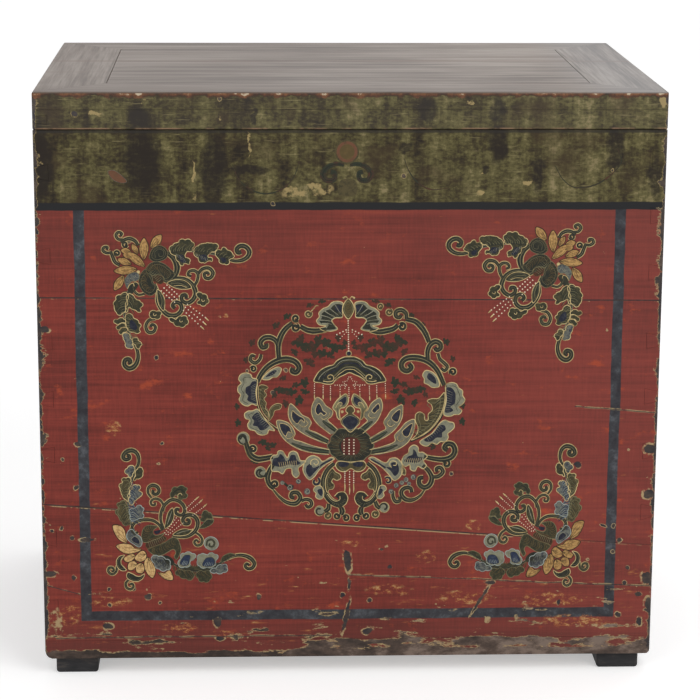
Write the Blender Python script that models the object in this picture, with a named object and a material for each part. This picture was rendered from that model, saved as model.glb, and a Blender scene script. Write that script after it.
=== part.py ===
"""Painted storage trunk: dovetailed board case, block feet and a framed lid on two iron hinges.

Metres, +Z up. The front faces -Y, and the origin is on the floor under the middle of the trunk.
"""
import math

import bmesh
import bpy
from mathutils import Vector

# Case
CASE_WIDTH = 0.780
CASE_DEPTH = 0.540
WALL_HEIGHT = 0.659
WALL_THICKNESS = 0.018
BOTTOM_THICKNESS = 0.024
BOTTOM_BOARD_COUNT = 3
BOTTOM_END_ROUND_LEFT = 0.011
BOTTOM_END_ROUND_RIGHT = 0.006

# Heights of the seams between wall boards, above the foot of the wall
FRONT_LOWER_SEAM_LEFT = 0.183
FRONT_LOWER_SEAM_RIGHT = 0.123
FRONT_UPPER_SEAM_LEFT = 0.450
FRONT_UPPER_SEAM_RIGHT = 0.444
SIDE_LOWER_SEAM = 0.212
SIDE_UPPER_SEAM = 0.428
REAR_LOWER_SEAM = 0.196
REAR_UPPER_SEAM = 0.462

# Dovetails: pins stand on the side boards, tails on the front and rear boards
PIN_PITCH = 0.085
PIN_OUTER_WIDTH = 0.013
PIN_INNER_WIDTH = 0.020

# Feet
FOOT_HEIGHT = 0.024
FOOT_WIDTH = 0.054
FOOT_LENGTH = 0.090
FOOT_INSET = 0.013
FOOT_EDGE_ROUND = 0.004

# Lid
SKIRT_HEIGHT = 0.024
SKIRT_THICKNESS = 0.018
SKIRT_PIN_OUTER_WIDTH = 0.007
SKIRT_PIN_INNER_WIDTH = 0.011
FRAME_THICKNESS = 0.022
FRAME_WIDTH = 0.086
PANEL_THICKNESS = 0.011
PANEL_LIP = 0.005
PANEL_MARGIN = 0.0009
PANEL_SEAM_FROM_FRONT = 0.315
GROOVE_DEPTH = 0.009
TENON_WIDTH = 0.040
TENON_THICKNESS = 0.007
TENON_BASE = 0.0065
TENON_COVER = 0.018
BATTEN_SPACING = 0.300
BATTEN_WIDTH = 0.034
BATTEN_HEIGHT = 0.016
BATTEN_TENON_WIDTH = 0.022
BATTEN_TENON_THICKNESS = 0.006
BATTEN_TENON_LENGTH = 0.020
BATTEN_TENON_RISE = 0.0075

# Hinges
HINGE_SPACING = 0.470
HINGE_LENGTH = 0.072
LEAF_HEIGHT = 0.036
LEAF_THICKNESS = 0.002
KNUCKLE_RADIUS = 0.0045
KNUCKLE_SHARE = 0.34
PIN_RADIUS = 0.002
PIN_HEAD_RADIUS = 0.0034
PIN_HEAD_LENGTH = 0.0016

# Fits and eased edges
JOINT_GAP = 0.0003
LID_GAP = 0.0008
CORNER_ROUND = 0.005
TOP_EDGE_ROUND = 0.003
SEAM_EASE = 0.0010
ROUND_STEPS = 4
ARC_SIDES = 24
ON_PLANE = 1e-6

# Levels and faces worked out from the sizes above
BOTTOM_LEVEL = FOOT_HEIGHT
WALL_LEVEL = BOTTOM_LEVEL + BOTTOM_THICKNESS
RIM_LEVEL = WALL_LEVEL + WALL_HEIGHT
SKIRT_LEVEL = RIM_LEVEL + LID_GAP
FRAME_LEVEL = SKIRT_LEVEL + SKIRT_HEIGHT
TOP_LEVEL = FRAME_LEVEL + FRAME_THICKNESS
PANEL_LEVEL = TOP_LEVEL - PANEL_THICKNESS
HINGE_PROUD = JOINT_GAP + 2 * KNUCKLE_RADIUS
LEFT = -CASE_WIDTH / 2
RIGHT = CASE_WIDTH / 2
FRONT = -(CASE_DEPTH + HINGE_PROUD) / 2
REAR = FRONT + CASE_DEPTH
AXIS_Y = REAR + JOINT_GAP + KNUCKLE_RADIUS
AXIS_Z = RIM_LEVEL + LID_GAP / 2
OPENING_LEFT = LEFT + FRAME_WIDTH
OPENING_RIGHT = RIGHT - FRAME_WIDTH
OPENING_FRONT = FRONT + FRAME_WIDTH
OPENING_REAR = REAR - FRAME_WIDTH

RED_LACQUER = ("red_lacquer", (0.30, 0.045, 0.030), 0.55, 0.0)
OXBLOOD_LACQUER = ("oxblood_lacquer", (0.14, 0.035, 0.025), 0.55, 0.0)
GREEN_PAINT = ("green_paint", (0.11, 0.10, 0.035), 0.60, 0.0)
WORN_WOOD = ("worn_wood", (0.17, 0.12, 0.10), 0.70, 0.0)
BARE_WOOD = ("bare_wood", (0.30, 0.19, 0.11), 0.80, 0.0)
BLACK_PAINT = ("black_paint", (0.012, 0.012, 0.013), 0.60, 0.0)
DARK_IRON = ("dark_iron", (0.07, 0.065, 0.06), 0.55, 0.9)


def clear_scene():
    for obj in list(bpy.data.objects):
        bpy.data.objects.remove(obj)


def material(finish):
    """A Principled material for one finish, made once."""
    name, colour, roughness, metallic = finish
    if name in bpy.data.materials:
        return bpy.data.materials[name]
    made = bpy.data.materials.new(name)
    made.use_nodes = True
    shader = made.node_tree.nodes["Principled BSDF"]
    shader.inputs["Base Color"].default_value = (*colour, 1.0)
    shader.inputs["Roughness"].default_value = roughness
    shader.inputs["Metallic"].default_value = metallic
    return made


def place(name, bm, finish):
    """Make a named object of a finished mesh."""
    bmesh.ops.recalc_face_normals(bm, faces=bm.faces[:])
    mesh = bpy.data.meshes.new(name)
    bm.to_mesh(mesh)
    bm.free()
    obj = bpy.data.objects.new(name, mesh)
    obj.data.materials.append(material(finish))
    bpy.context.scene.collection.objects.link(obj)
    return obj


def prism(outline, far_outline):
    """A solid between two outlines with the same number of points."""
    bm = bmesh.new()
    near = [bm.verts.new(point) for point in outline]
    far = [bm.verts.new(point) for point in far_outline]
    bm.faces.new(near)
    bm.faces.new(list(reversed(far)))
    for index, vert in enumerate(near):
        after = (index + 1) % len(near)
        bm.faces.new((near[after], vert, far[index], far[after]))
    bmesh.ops.recalc_face_normals(bm, faces=bm.faces[:])
    return bm


def box(low, high):
    """A plain block between two corners."""
    plan = ((low[0], low[1]), (high[0], low[1]), (high[0], high[1]), (low[0], high[1]))
    return prism([(x, y, low[2]) for x, y in plan], [(x, y, high[2]) for x, y in plan])


def lathe(profile, centre, sides=ARC_SIDES):
    """A turned solid about a line along X, from (offset along X, radius) pairs."""
    bm = bmesh.new()
    rings = []
    for offset, radius in profile:
        ring = []
        for side in range(sides):
            turn = 2 * math.pi * side / sides
            y = centre[1] + radius * math.cos(turn)
            z = centre[2] + radius * math.sin(turn)
            ring.append(bm.verts.new((centre[0] + offset, y, z)))
        rings.append(ring)
    for ring, following in zip(rings, rings[1:]):
        for side in range(sides):
            after = (side + 1) % sides
            bm.faces.new((ring[side], ring[after], following[after], following[side]))
    bm.faces.new(list(reversed(rings[0])))
    bm.faces.new(rings[-1])
    return bm


def plane_off(bm, planes):
    """Plane away whatever stands beyond each (point, normal) plane, and close the cut."""
    for point, normal in planes:
        if all((vert.co - point).dot(normal) < ON_PLANE for vert in bm.verts):
            continue
        geometry = bm.verts[:] + bm.edges[:] + bm.faces[:]
        bmesh.ops.bisect_plane(
            bm, geom=geometry, dist=ON_PLANE / 10, plane_co=point, plane_no=normal, clear_outer=True
        )
        open_edges = [edge for edge in bm.edges if edge.is_boundary]
        bmesh.ops.holes_fill(bm, edges=open_edges, sides=0)
    return bm


def tangent_planes(centre, radius, first, second):
    """Planes that round the edge between two outward directions, about an arc's centre."""
    planes = []
    for step in range(1, ROUND_STEPS):
        turn = math.pi / 2 * step / ROUND_STEPS
        normal = first * math.cos(turn) + second * math.sin(turn)
        planes.append((centre + normal * radius, normal))
    return planes


def corner_planes():
    """Planes that round the four upright corners of the trunk."""
    planes = []
    for x, across in ((LEFT, Vector((-1, 0, 0))), (RIGHT, Vector((1, 0, 0)))):
        for y, along in ((FRONT, Vector((0, -1, 0))), (REAR, Vector((0, 1, 0)))):
            centre = Vector((x, y, 0)) - (across + along) * CORNER_ROUND
            planes += tangent_planes(centre, CORNER_ROUND, across, along)
    return planes


def rim_planes(level, radius, upright, steps_round):
    """Planes that ease the four outer edges at a level, rounded or as one flat."""
    planes = []
    sides = (
        (Vector((LEFT, 0, level)), Vector((-1, 0, 0))),
        (Vector((RIGHT, 0, level)), Vector((1, 0, 0))),
        (Vector((0, FRONT, level)), Vector((0, -1, 0))),
        (Vector((0, REAR, level)), Vector((0, 1, 0))),
    )
    for edge, outward in sides:
        if steps_round:
            centre = edge - (outward + upright) * radius
            planes += tangent_planes(centre, radius, outward, upright)
        else:
            planes.append((edge - outward * radius, (outward + upright).normalized()))
    return planes


CORNERS = corner_planes()
UP = Vector((0, 0, 1))


def pin_heights(bottom, top, seams, pitch):
    """Heights of the pins at one corner, evenly set between the board seams of both walls."""
    stops = [bottom, *sorted(seams), top]
    heights = []
    for low, high in zip(stops, stops[1:]):
        count = round((high - low) / pitch)
        heights += [low + (high - low) * (index + 0.5) / count for index in range(count)]
    return heights


class Dovetails:
    """Pin shape at the corners of a box of boards."""

    def __init__(self, outer_width, inner_width, thickness):
        self.outer_half = outer_width / 2
        self.inner_half = inner_width / 2
        self.thickness = thickness

    def tail_end(self, face, inward, pins):
        """Points up one end of a tail board, with a socket for each pin, as (x, z)."""
        floor = face + inward * (self.thickness + JOINT_GAP)
        outer = self.outer_half + JOINT_GAP
        inner = self.inner_half + JOINT_GAP
        points = []
        for height in pins:
            points.append((face, height - outer))
            points.append((floor, height - inner))
            points.append((floor, height + inner))
            points.append((face, height + outer))
        return points

    def pin_end(self, face, inward, pins, half):
        """Points up one end of a pin board, with its pins, as (y, z)."""
        shoulder = face + inward * (self.thickness + JOINT_GAP)
        points = []
        for height in pins:
            points.append((shoulder, height - half))
            points.append((face, height - half))
            points.append((face, height + half))
            points.append((shoulder, height + half))
        return shoulder, points

    def tail_board(self, y_face, y_back, low, high, left_pins, right_pins):
        """A front or rear board. low and high give its edge heights at the left and right end."""
        inside_left = [z for z in left_pins if low[0] < z < high[0]]
        inside_right = [z for z in right_pins if low[1] < z < high[1]]
        outline = [(LEFT, low[0]), (RIGHT, low[1])]
        outline += self.tail_end(RIGHT, -1, inside_right)
        outline += [(RIGHT, high[1]), (LEFT, high[0])]
        outline += list(reversed(self.tail_end(LEFT, 1, inside_left)))
        return prism([(x, y_face, z) for x, z in outline], [(x, y_back, z) for x, z in outline])

    def pin_board(self, x_face, x_back, low, high, front_pins, rear_pins):
        """A side board, its pins narrow on the outer face and wide on the inner one."""
        outlines = []
        for x, half in ((x_face, self.outer_half), (x_back, self.inner_half)):
            inside_front = [z for z in front_pins if low < z < high]
            inside_rear = [z for z in rear_pins if low < z < high]
            front, front_points = self.pin_end(FRONT, 1, inside_front, half)
            rear, rear_points = self.pin_end(REAR, -1, inside_rear, half)
            outline = [(front, low), (rear, low), *rear_points]
            outline += [(rear, high), (front, high), *reversed(front_points)]
            outlines.append([(x, y, z) for y, z in outline])
        return prism(*outlines)


def board_spans(bottom, top, seams):
    """Lower and upper edge of each board of a wall, with a joint gap at every seam."""
    stops = [bottom, *seams, top]
    spans = []
    for index in range(len(stops) - 1):
        spans.append((stops[index] + JOINT_GAP, stops[index + 1]))
    return spans


def build_walls():
    """Four walls of three boards each, dovetailed at the corners."""
    joint = Dovetails(PIN_OUTER_WIDTH, PIN_INNER_WIDTH, WALL_THICKNESS)
    side_seams = [WALL_LEVEL + SIDE_LOWER_SEAM, WALL_LEVEL + SIDE_UPPER_SEAM]
    rear_seams = [WALL_LEVEL + REAR_LOWER_SEAM, WALL_LEVEL + REAR_UPPER_SEAM]
    front_left = [WALL_LEVEL + FRONT_LOWER_SEAM_LEFT, WALL_LEVEL + FRONT_UPPER_SEAM_LEFT]
    front_right = [WALL_LEVEL + FRONT_LOWER_SEAM_RIGHT, WALL_LEVEL + FRONT_UPPER_SEAM_RIGHT]

    def pins(seams):
        return pin_heights(WALL_LEVEL, RIM_LEVEL, seams + side_seams, PIN_PITCH)

    front_left_pins = pins(front_left)
    front_right_pins = pins(front_right)
    rear_pins = pins(rear_seams)
    side_spans = board_spans(WALL_LEVEL, RIM_LEVEL, side_seams)
    rear_spans = board_spans(WALL_LEVEL, RIM_LEVEL, rear_seams)
    left_spans = board_spans(WALL_LEVEL, RIM_LEVEL, front_left)
    right_spans = board_spans(WALL_LEVEL, RIM_LEVEL, front_right)
    planes = CORNERS + rim_planes(RIM_LEVEL, SEAM_EASE, UP, steps_round=False)

    for index, height in enumerate(("lower", "middle", "upper")):
        low = (left_spans[index][0], right_spans[index][0])
        high = (left_spans[index][1], right_spans[index][1])
        front = joint.tail_board(FRONT, FRONT + WALL_THICKNESS, low, high, front_left_pins, front_right_pins)
        place(f"front_board_{height}", plane_off(front, planes), RED_LACQUER)

        low, high = rear_spans[index]
        rear = joint.tail_board(REAR, REAR - WALL_THICKNESS, (low, low), (high, high), rear_pins, rear_pins)
        place(f"rear_board_{height}", plane_off(rear, planes), OXBLOOD_LACQUER)

        low, high = side_spans[index]
        left = joint.pin_board(LEFT, LEFT + WALL_THICKNESS, low, high, front_left_pins, rear_pins)
        place(f"left_board_{height}", plane_off(left, planes), OXBLOOD_LACQUER)
        right = joint.pin_board(RIGHT, RIGHT - WALL_THICKNESS, low, high, front_right_pins, rear_pins)
        place(f"right_board_{height}", plane_off(right, planes), OXBLOOD_LACQUER)


def build_bottom():
    """Bottom boards nailed under the walls, their lower ends worn round."""
    low = BOTTOM_LEVEL + JOINT_GAP
    high = WALL_LEVEL
    down = -UP
    ends = []
    for x, across, radius in (
        (LEFT, Vector((-1, 0, 0)), BOTTOM_END_ROUND_LEFT),
        (RIGHT, Vector((1, 0, 0)), BOTTOM_END_ROUND_RIGHT),
    ):
        centre = Vector((x, 0, low)) - (across + down) * radius
        ends += tangent_planes(centre, radius, across, down)
    names = ("front", "middle", "rear")
    pitch = CASE_DEPTH / BOTTOM_BOARD_COUNT
    for index in range(BOTTOM_BOARD_COUNT):
        near = FRONT + pitch * index
        near += JOINT_GAP if index else 0
        far = FRONT + pitch * (index + 1)
        board = plane_off(box((LEFT, near, low), (RIGHT, far, high)), CORNERS + ends)
        name = names[index] if index < len(names) else f"extra_{index}"
        place(f"bottom_board_{name}", board, RED_LACQUER if index == 0 else BARE_WOOD)


def build_feet():
    """Four block feet, their lower edges worn round."""
    for row, near in (("front", FRONT + FOOT_INSET), ("rear", REAR - FOOT_INSET - FOOT_LENGTH)):
        for side, start in (("left", LEFT + FOOT_INSET), ("right", RIGHT - FOOT_INSET - FOOT_WIDTH)):
            bm = box((start, near, 0), (start + FOOT_WIDTH, near + FOOT_LENGTH, FOOT_HEIGHT))
            worn = [edge for edge in bm.edges if min(vert.co.z for vert in edge.verts) < FOOT_HEIGHT / 2]
            bmesh.ops.bevel(
                bm, geom=worn, offset=FOOT_EDGE_ROUND, segments=ROUND_STEPS, profile=0.5, affect="EDGES"
            )
            place(f"foot_{row}_{side}", bm, BLACK_PAINT)


def boolean(obj, other, operation):
    """Cut or join a piece with another shape."""
    modifier = obj.modifiers.new(other.name, "BOOLEAN")
    modifier.operation = operation
    modifier.object = other


def cutter(name, bm):
    """A shape that only cuts."""
    obj = place(name, bm, BARE_WOOD)
    obj.hide_render = True
    obj.display_type = "WIRE"
    return obj


def grown(low, high, gap):
    """A block's corners moved outwards by a gap."""
    return tuple(value - gap for value in low), tuple(value + gap for value in high)


def build_frame():
    """Mitred lid frame, grooved for the panel, with the stiles tenoned into the rails."""
    base = FRAME_LEVEL + JOINT_GAP
    planes = CORNERS + rim_planes(TOP_LEVEL, TOP_EDGE_ROUND, UP, steps_round=True)
    # The mitre runs through both corners of a member, and each side of it keeps half the joint gap
    back_off = JOINT_GAP / math.sqrt(2)
    groove = cutter(
        "panel_groove",
        box(
            (OPENING_LEFT - GROOVE_DEPTH, OPENING_FRONT - GROOVE_DEPTH, PANEL_LEVEL - JOINT_GAP),
            (OPENING_RIGHT + GROOVE_DEPTH, OPENING_REAR + GROOVE_DEPTH, TOP_LEVEL - PANEL_LIP),
        ),
    )
    frame = {}
    for name, outer, inner in (
        ("lid_front_rail", FRONT, OPENING_FRONT),
        ("lid_rear_rail", REAR, OPENING_REAR),
    ):
        plan = (
            (LEFT + back_off, outer),
            (RIGHT - back_off, outer),
            (OPENING_RIGHT - back_off, inner),
            (OPENING_LEFT + back_off, inner),
        )
        bm = prism([(x, y, base) for x, y in plan], [(x, y, TOP_LEVEL) for x, y in plan])
        frame[name] = place(name, plane_off(bm, planes), WORN_WOOD)
    for name, outer, inner in (
        ("lid_left_stile", LEFT, OPENING_LEFT),
        ("lid_right_stile", RIGHT, OPENING_RIGHT),
    ):
        plan = (
            (outer, FRONT + back_off),
            (outer, REAR - back_off),
            (inner, OPENING_REAR - back_off),
            (inner, OPENING_FRONT + back_off),
        )
        bm = prism([(x, y, base) for x, y in plan], [(x, y, TOP_LEVEL) for x, y in plan])
        frame[name] = place(name, plane_off(bm, planes), WORN_WOOD)

    for side, centre in (("left", LEFT + FRAME_WIDTH / 2), ("right", RIGHT - FRAME_WIDTH / 2)):
        for row, start, end in (
            ("front", FRONT + TENON_COVER, OPENING_FRONT),
            ("rear", OPENING_REAR, REAR - TENON_COVER),
        ):
            low = (centre - TENON_WIDTH / 2, start, base + TENON_BASE)
            high = (centre + TENON_WIDTH / 2, end, base + TENON_BASE + TENON_THICKNESS)
            tenon = cutter(f"tenon_{row}_{side}", box(low, high))
            mortise = cutter(f"mortise_{row}_{side}", box(*grown(low, high, JOINT_GAP)))
            boolean(frame[f"lid_{side}_stile"], tenon, "UNION")
            boolean(frame[f"lid_{row}_rail"], mortise, "DIFFERENCE")
    for member in frame.values():
        boolean(member, groove, "DIFFERENCE")
    return frame


def build_panel():
    """Two floating panel boards, flush with the frame and rebated to a tongue."""
    reach = GROOVE_DEPTH - JOINT_GAP
    seam = FRONT + PANEL_SEAM_FROM_FRONT
    step = TOP_LEVEL - PANEL_LIP - JOINT_GAP
    above = TOP_LEVEL + PANEL_LIP
    left = OPENING_LEFT - reach
    right = OPENING_RIGHT + reach
    rebates = []
    for name, low, high in (
        ("left", (LEFT, FRONT), (OPENING_LEFT + PANEL_MARGIN, REAR)),
        ("right", (OPENING_RIGHT - PANEL_MARGIN, FRONT), (RIGHT, REAR)),
        ("front", (LEFT, FRONT), (RIGHT, OPENING_FRONT + PANEL_MARGIN)),
        ("rear", (LEFT, OPENING_REAR - PANEL_MARGIN), (RIGHT, REAR)),
    ):
        rebates.append(cutter(f"rebate_{name}", box((*low, step), (*high, above))))
    for name, near, far in (
        ("lid_panel_front", OPENING_FRONT - reach, seam),
        ("lid_panel_rear", seam + JOINT_GAP, OPENING_REAR + reach),
    ):
        board = place(name, box((left, near, PANEL_LEVEL), (right, far, TOP_LEVEL)), WORN_WOOD)
        for rebate in rebates:
            boolean(board, rebate, "DIFFERENCE")


def build_battens(frame):
    """Cross battens under the panel, with stub tenons in the rails."""
    top = PANEL_LEVEL - JOINT_GAP
    low_end = top - BATTEN_HEIGHT
    tenon_low = FRAME_LEVEL + BATTEN_TENON_RISE - BATTEN_TENON_THICKNESS
    tenon_high = FRAME_LEVEL + BATTEN_TENON_RISE
    for side, centre in (("left", -BATTEN_SPACING / 2), ("right", BATTEN_SPACING / 2)):
        near = OPENING_FRONT + JOINT_GAP
        far = OPENING_REAR - JOINT_GAP
        outline = [(near, low_end), (far, low_end)]
        outline += [(far, tenon_low), (far + BATTEN_TENON_LENGTH, tenon_low)]
        outline += [(far + BATTEN_TENON_LENGTH, tenon_high), (far, tenon_high), (far, top)]
        outline += [(near, top), (near, tenon_high), (near - BATTEN_TENON_LENGTH, tenon_high)]
        outline += [(near - BATTEN_TENON_LENGTH, tenon_low), (near, tenon_low)]
        half = BATTEN_TENON_WIDTH / 2
        wide = BATTEN_WIDTH / 2
        core = prism(
            [(centre - half, y, z) for y, z in outline], [(centre + half, y, z) for y, z in outline]
        )
        batten = place(f"lid_batten_{side}", core, BARE_WOOD)
        body = cutter(f"batten_body_{side}", box((centre - wide, near, low_end), (centre + wide, far, top)))
        boolean(batten, body, "UNION")
        for row, start, end in (
            ("front", near - BATTEN_TENON_LENGTH, near),
            ("rear", far, far + BATTEN_TENON_LENGTH),
        ):
            low, high = grown((centre - half, start, tenon_low), (centre + half, end, tenon_high), JOINT_GAP)
            socket = cutter(f"batten_socket_{row}_{side}", box(low, high))
            boolean(frame[f"lid_{row}_rail"], socket, "DIFFERENCE")


def build_skirt():
    """Dovetailed skirt boards under the lid frame."""
    joint = Dovetails(SKIRT_PIN_OUTER_WIDTH, SKIRT_PIN_INNER_WIDTH, SKIRT_THICKNESS)
    low = SKIRT_LEVEL
    high = FRAME_LEVEL
    pins = [(low + high) / 2]
    planes = CORNERS + rim_planes(SKIRT_LEVEL, SEAM_EASE, -UP, steps_round=False)
    for name, face, inward in (("front", FRONT, 1), ("rear", REAR, -1)):
        back = face + inward * SKIRT_THICKNESS
        board = joint.tail_board(face, back, (low, low), (high, high), pins, pins)
        place(f"lid_skirt_{name}", plane_off(board, planes), GREEN_PAINT)
    for name, face, inward in (("left", LEFT, 1), ("right", RIGHT, -1)):
        board = joint.pin_board(face, face + inward * SKIRT_THICKNESS, low, high, pins, pins)
        place(f"lid_skirt_{name}", plane_off(board, planes), GREEN_PAINT)


def leaf_outline(upright):
    """Section of a hinge leaf, a plate that rolls into a barrel, as (y, z). upright is 1 or -1."""
    plate_face = REAR + JOINT_GAP + LEAF_THICKNESS
    far_end = AXIS_Z + upright * (LEAF_HEIGHT + KNUCKLE_RADIUS)
    meet = math.acos((LEAF_THICKNESS - KNUCKLE_RADIUS) / KNUCKLE_RADIUS)
    sweep = math.pi + meet
    points = [(REAR + JOINT_GAP, far_end)]
    for step in range(ARC_SIDES + 1):
        turn = math.pi - sweep * step / ARC_SIDES
        y = AXIS_Y + KNUCKLE_RADIUS * math.cos(turn)
        z = AXIS_Z - upright * KNUCKLE_RADIUS * math.sin(turn)
        points.append((y, z))
    points.append((plate_face, far_end))
    return points


def build_hinges():
    """Two iron hinges: the outer knuckles belong to the case, the middle one to the lid."""
    knuckle = HINGE_LENGTH * KNUCKLE_SHARE
    notch_reach = KNUCKLE_RADIUS + 2 * JOINT_GAP
    for side, centre in (("left", -HINGE_SPACING / 2), ("right", HINGE_SPACING / 2)):
        start = centre - HINGE_LENGTH / 2
        end = centre + HINGE_LENGTH / 2
        middle_start = centre - knuckle / 2
        middle_end = centre + knuckle / 2
        bore_profile = (
            (-HINGE_LENGTH, PIN_RADIUS + JOINT_GAP),
            (HINGE_LENGTH, PIN_RADIUS + JOINT_GAP),
        )
        bore = cutter(f"hinge_bore_{side}", lathe(bore_profile, (centre, AXIS_Y, AXIS_Z)))
        near_y = REAR - LEAF_THICKNESS
        far_y = AXIS_Y + 2 * KNUCKLE_RADIUS
        low_z = AXIS_Z - notch_reach
        high_z = AXIS_Z + notch_reach
        half_gap = JOINT_GAP / 2
        for body, upright, notches in (
            ("case", -1, ((middle_start - half_gap, middle_end + half_gap),)),
            ("lid", 1, ((start - knuckle, middle_start + half_gap), (middle_end - half_gap, end + knuckle))),
        ):
            outline = leaf_outline(upright)
            bm = prism([(start, y, z) for y, z in outline], [(end, y, z) for y, z in outline])
            leaf = place(f"hinge_{body}_leaf_{side}", bm, DARK_IRON)
            boolean(leaf, bore, "DIFFERENCE")
            for index, (first, last) in enumerate(notches):
                block = box((first, near_y, low_z), (last, far_y, high_z))
                boolean(leaf, cutter(f"hinge_notch_{body}_{side}_{index}", block), "DIFFERENCE")
        half = HINGE_LENGTH / 2 + JOINT_GAP
        pin_profile = (
            (-half - PIN_HEAD_LENGTH, PIN_HEAD_RADIUS / 2),
            (-half - PIN_HEAD_LENGTH / 2, PIN_HEAD_RADIUS),
            (-half, PIN_HEAD_RADIUS),
            (-half, PIN_RADIUS),
            (half, PIN_RADIUS),
            (half, PIN_HEAD_RADIUS),
            (half + PIN_HEAD_LENGTH / 2, PIN_HEAD_RADIUS),
            (half + PIN_HEAD_LENGTH, PIN_HEAD_RADIUS / 2),
        )
        place(f"hinge_pin_{side}", lathe(pin_profile, (centre, AXIS_Y, AXIS_Z)), DARK_IRON)


def main():
    clear_scene()
    build_walls()
    build_bottom()
    build_feet()
    frame = build_frame()
    build_panel()
    build_battens(frame)
    build_skirt()
    build_hinges()


main()
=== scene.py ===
"""Dresses the painted storage trunk.

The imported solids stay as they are. This script gives each of them its finish, lays the raised lotus
ornament on the front, drives the hinge nails, and sets the floor, the light and the camera.
"""

import logging
import math
from dataclasses import dataclass, field
from enum import Enum
from typing import Callable, Dict, List, Optional, Sequence, Tuple, Union

import bmesh
import bpy
from mathutils import Matrix, Vector
from mathutils.geometry import tessellate_polygon


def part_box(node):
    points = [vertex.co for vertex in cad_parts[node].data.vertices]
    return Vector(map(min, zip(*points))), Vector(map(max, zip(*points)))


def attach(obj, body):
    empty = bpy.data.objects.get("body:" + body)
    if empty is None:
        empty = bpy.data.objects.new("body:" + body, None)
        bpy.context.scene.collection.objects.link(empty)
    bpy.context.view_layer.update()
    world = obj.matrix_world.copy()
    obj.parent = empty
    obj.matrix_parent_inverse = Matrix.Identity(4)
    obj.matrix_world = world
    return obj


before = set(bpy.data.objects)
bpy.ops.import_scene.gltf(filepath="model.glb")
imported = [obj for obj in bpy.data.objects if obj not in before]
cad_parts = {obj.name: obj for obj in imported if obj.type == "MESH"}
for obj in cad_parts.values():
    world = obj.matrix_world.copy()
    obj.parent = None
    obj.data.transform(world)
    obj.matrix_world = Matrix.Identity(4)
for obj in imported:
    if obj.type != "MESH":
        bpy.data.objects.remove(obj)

Colour = Tuple[float, float, float]
Point = Tuple[float, float]
Socket = bpy.types.NodeSocket
Value = Union[float, Socket]
Tint = Union[Colour, Socket]

LOG = logging.getLogger("trunk")
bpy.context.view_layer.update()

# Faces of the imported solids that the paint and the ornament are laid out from.
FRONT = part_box("front_board_middle")[0].y
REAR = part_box("rear_board_middle")[1].y
HALF_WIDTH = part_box("front_board_middle")[1].x
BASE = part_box("bottom_board_front")[0].z
WALL_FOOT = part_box("front_board_lower")[0].z
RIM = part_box("front_board_upper")[1].z
SKIRT_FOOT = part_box("lid_skirt_front")[0].z
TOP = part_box("lid_front_rail")[1].z
PANEL_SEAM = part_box("lid_panel_rear")[0].y


class Grain(Enum):
    """The way a board's grain runs."""

    ACROSS = "across"
    DEEP = "deep"


class Body(Enum):
    """The two bodies that the pieces ride on."""

    CASE = "case"
    LID = "lid"


@dataclass(frozen=True)
class Sheet:
    """The drawing sheet pinned to the front: one unit across and one unit down, in metres.

    Sheet points are (column, row), with rows counted downwards from the sheet's top.
    """

    middle: float = 349.6
    head: float = 94.5
    step_across: float = 0.0012409
    step_down: float = 0.0012992
    foot: float = 656.0
    bow: float = 0.0062

    def x(self, column: float) -> float:
        """Place of a sheet column, from the trunk's centre line."""
        return (column - self.middle) * self.step_across

    def z(self, row: float) -> float:
        """Height of a sheet row. Rows half way down sit a little above an even spacing."""
        share = (row - self.head) / (self.foot - self.head)
        return TOP - (row - self.head) * self.step_down + 4 * self.bow * share * (1 - share)


SHEET = Sheet()


@dataclass(frozen=True)
class Chip:
    """One place where the paint has come away, an ellipse on the sheet.

    Half sizes are in sheet units, and turn is in degrees from level.
    """

    column: float
    row: float
    half_across: float
    half_down: float
    turn: float = 0.0


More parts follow.
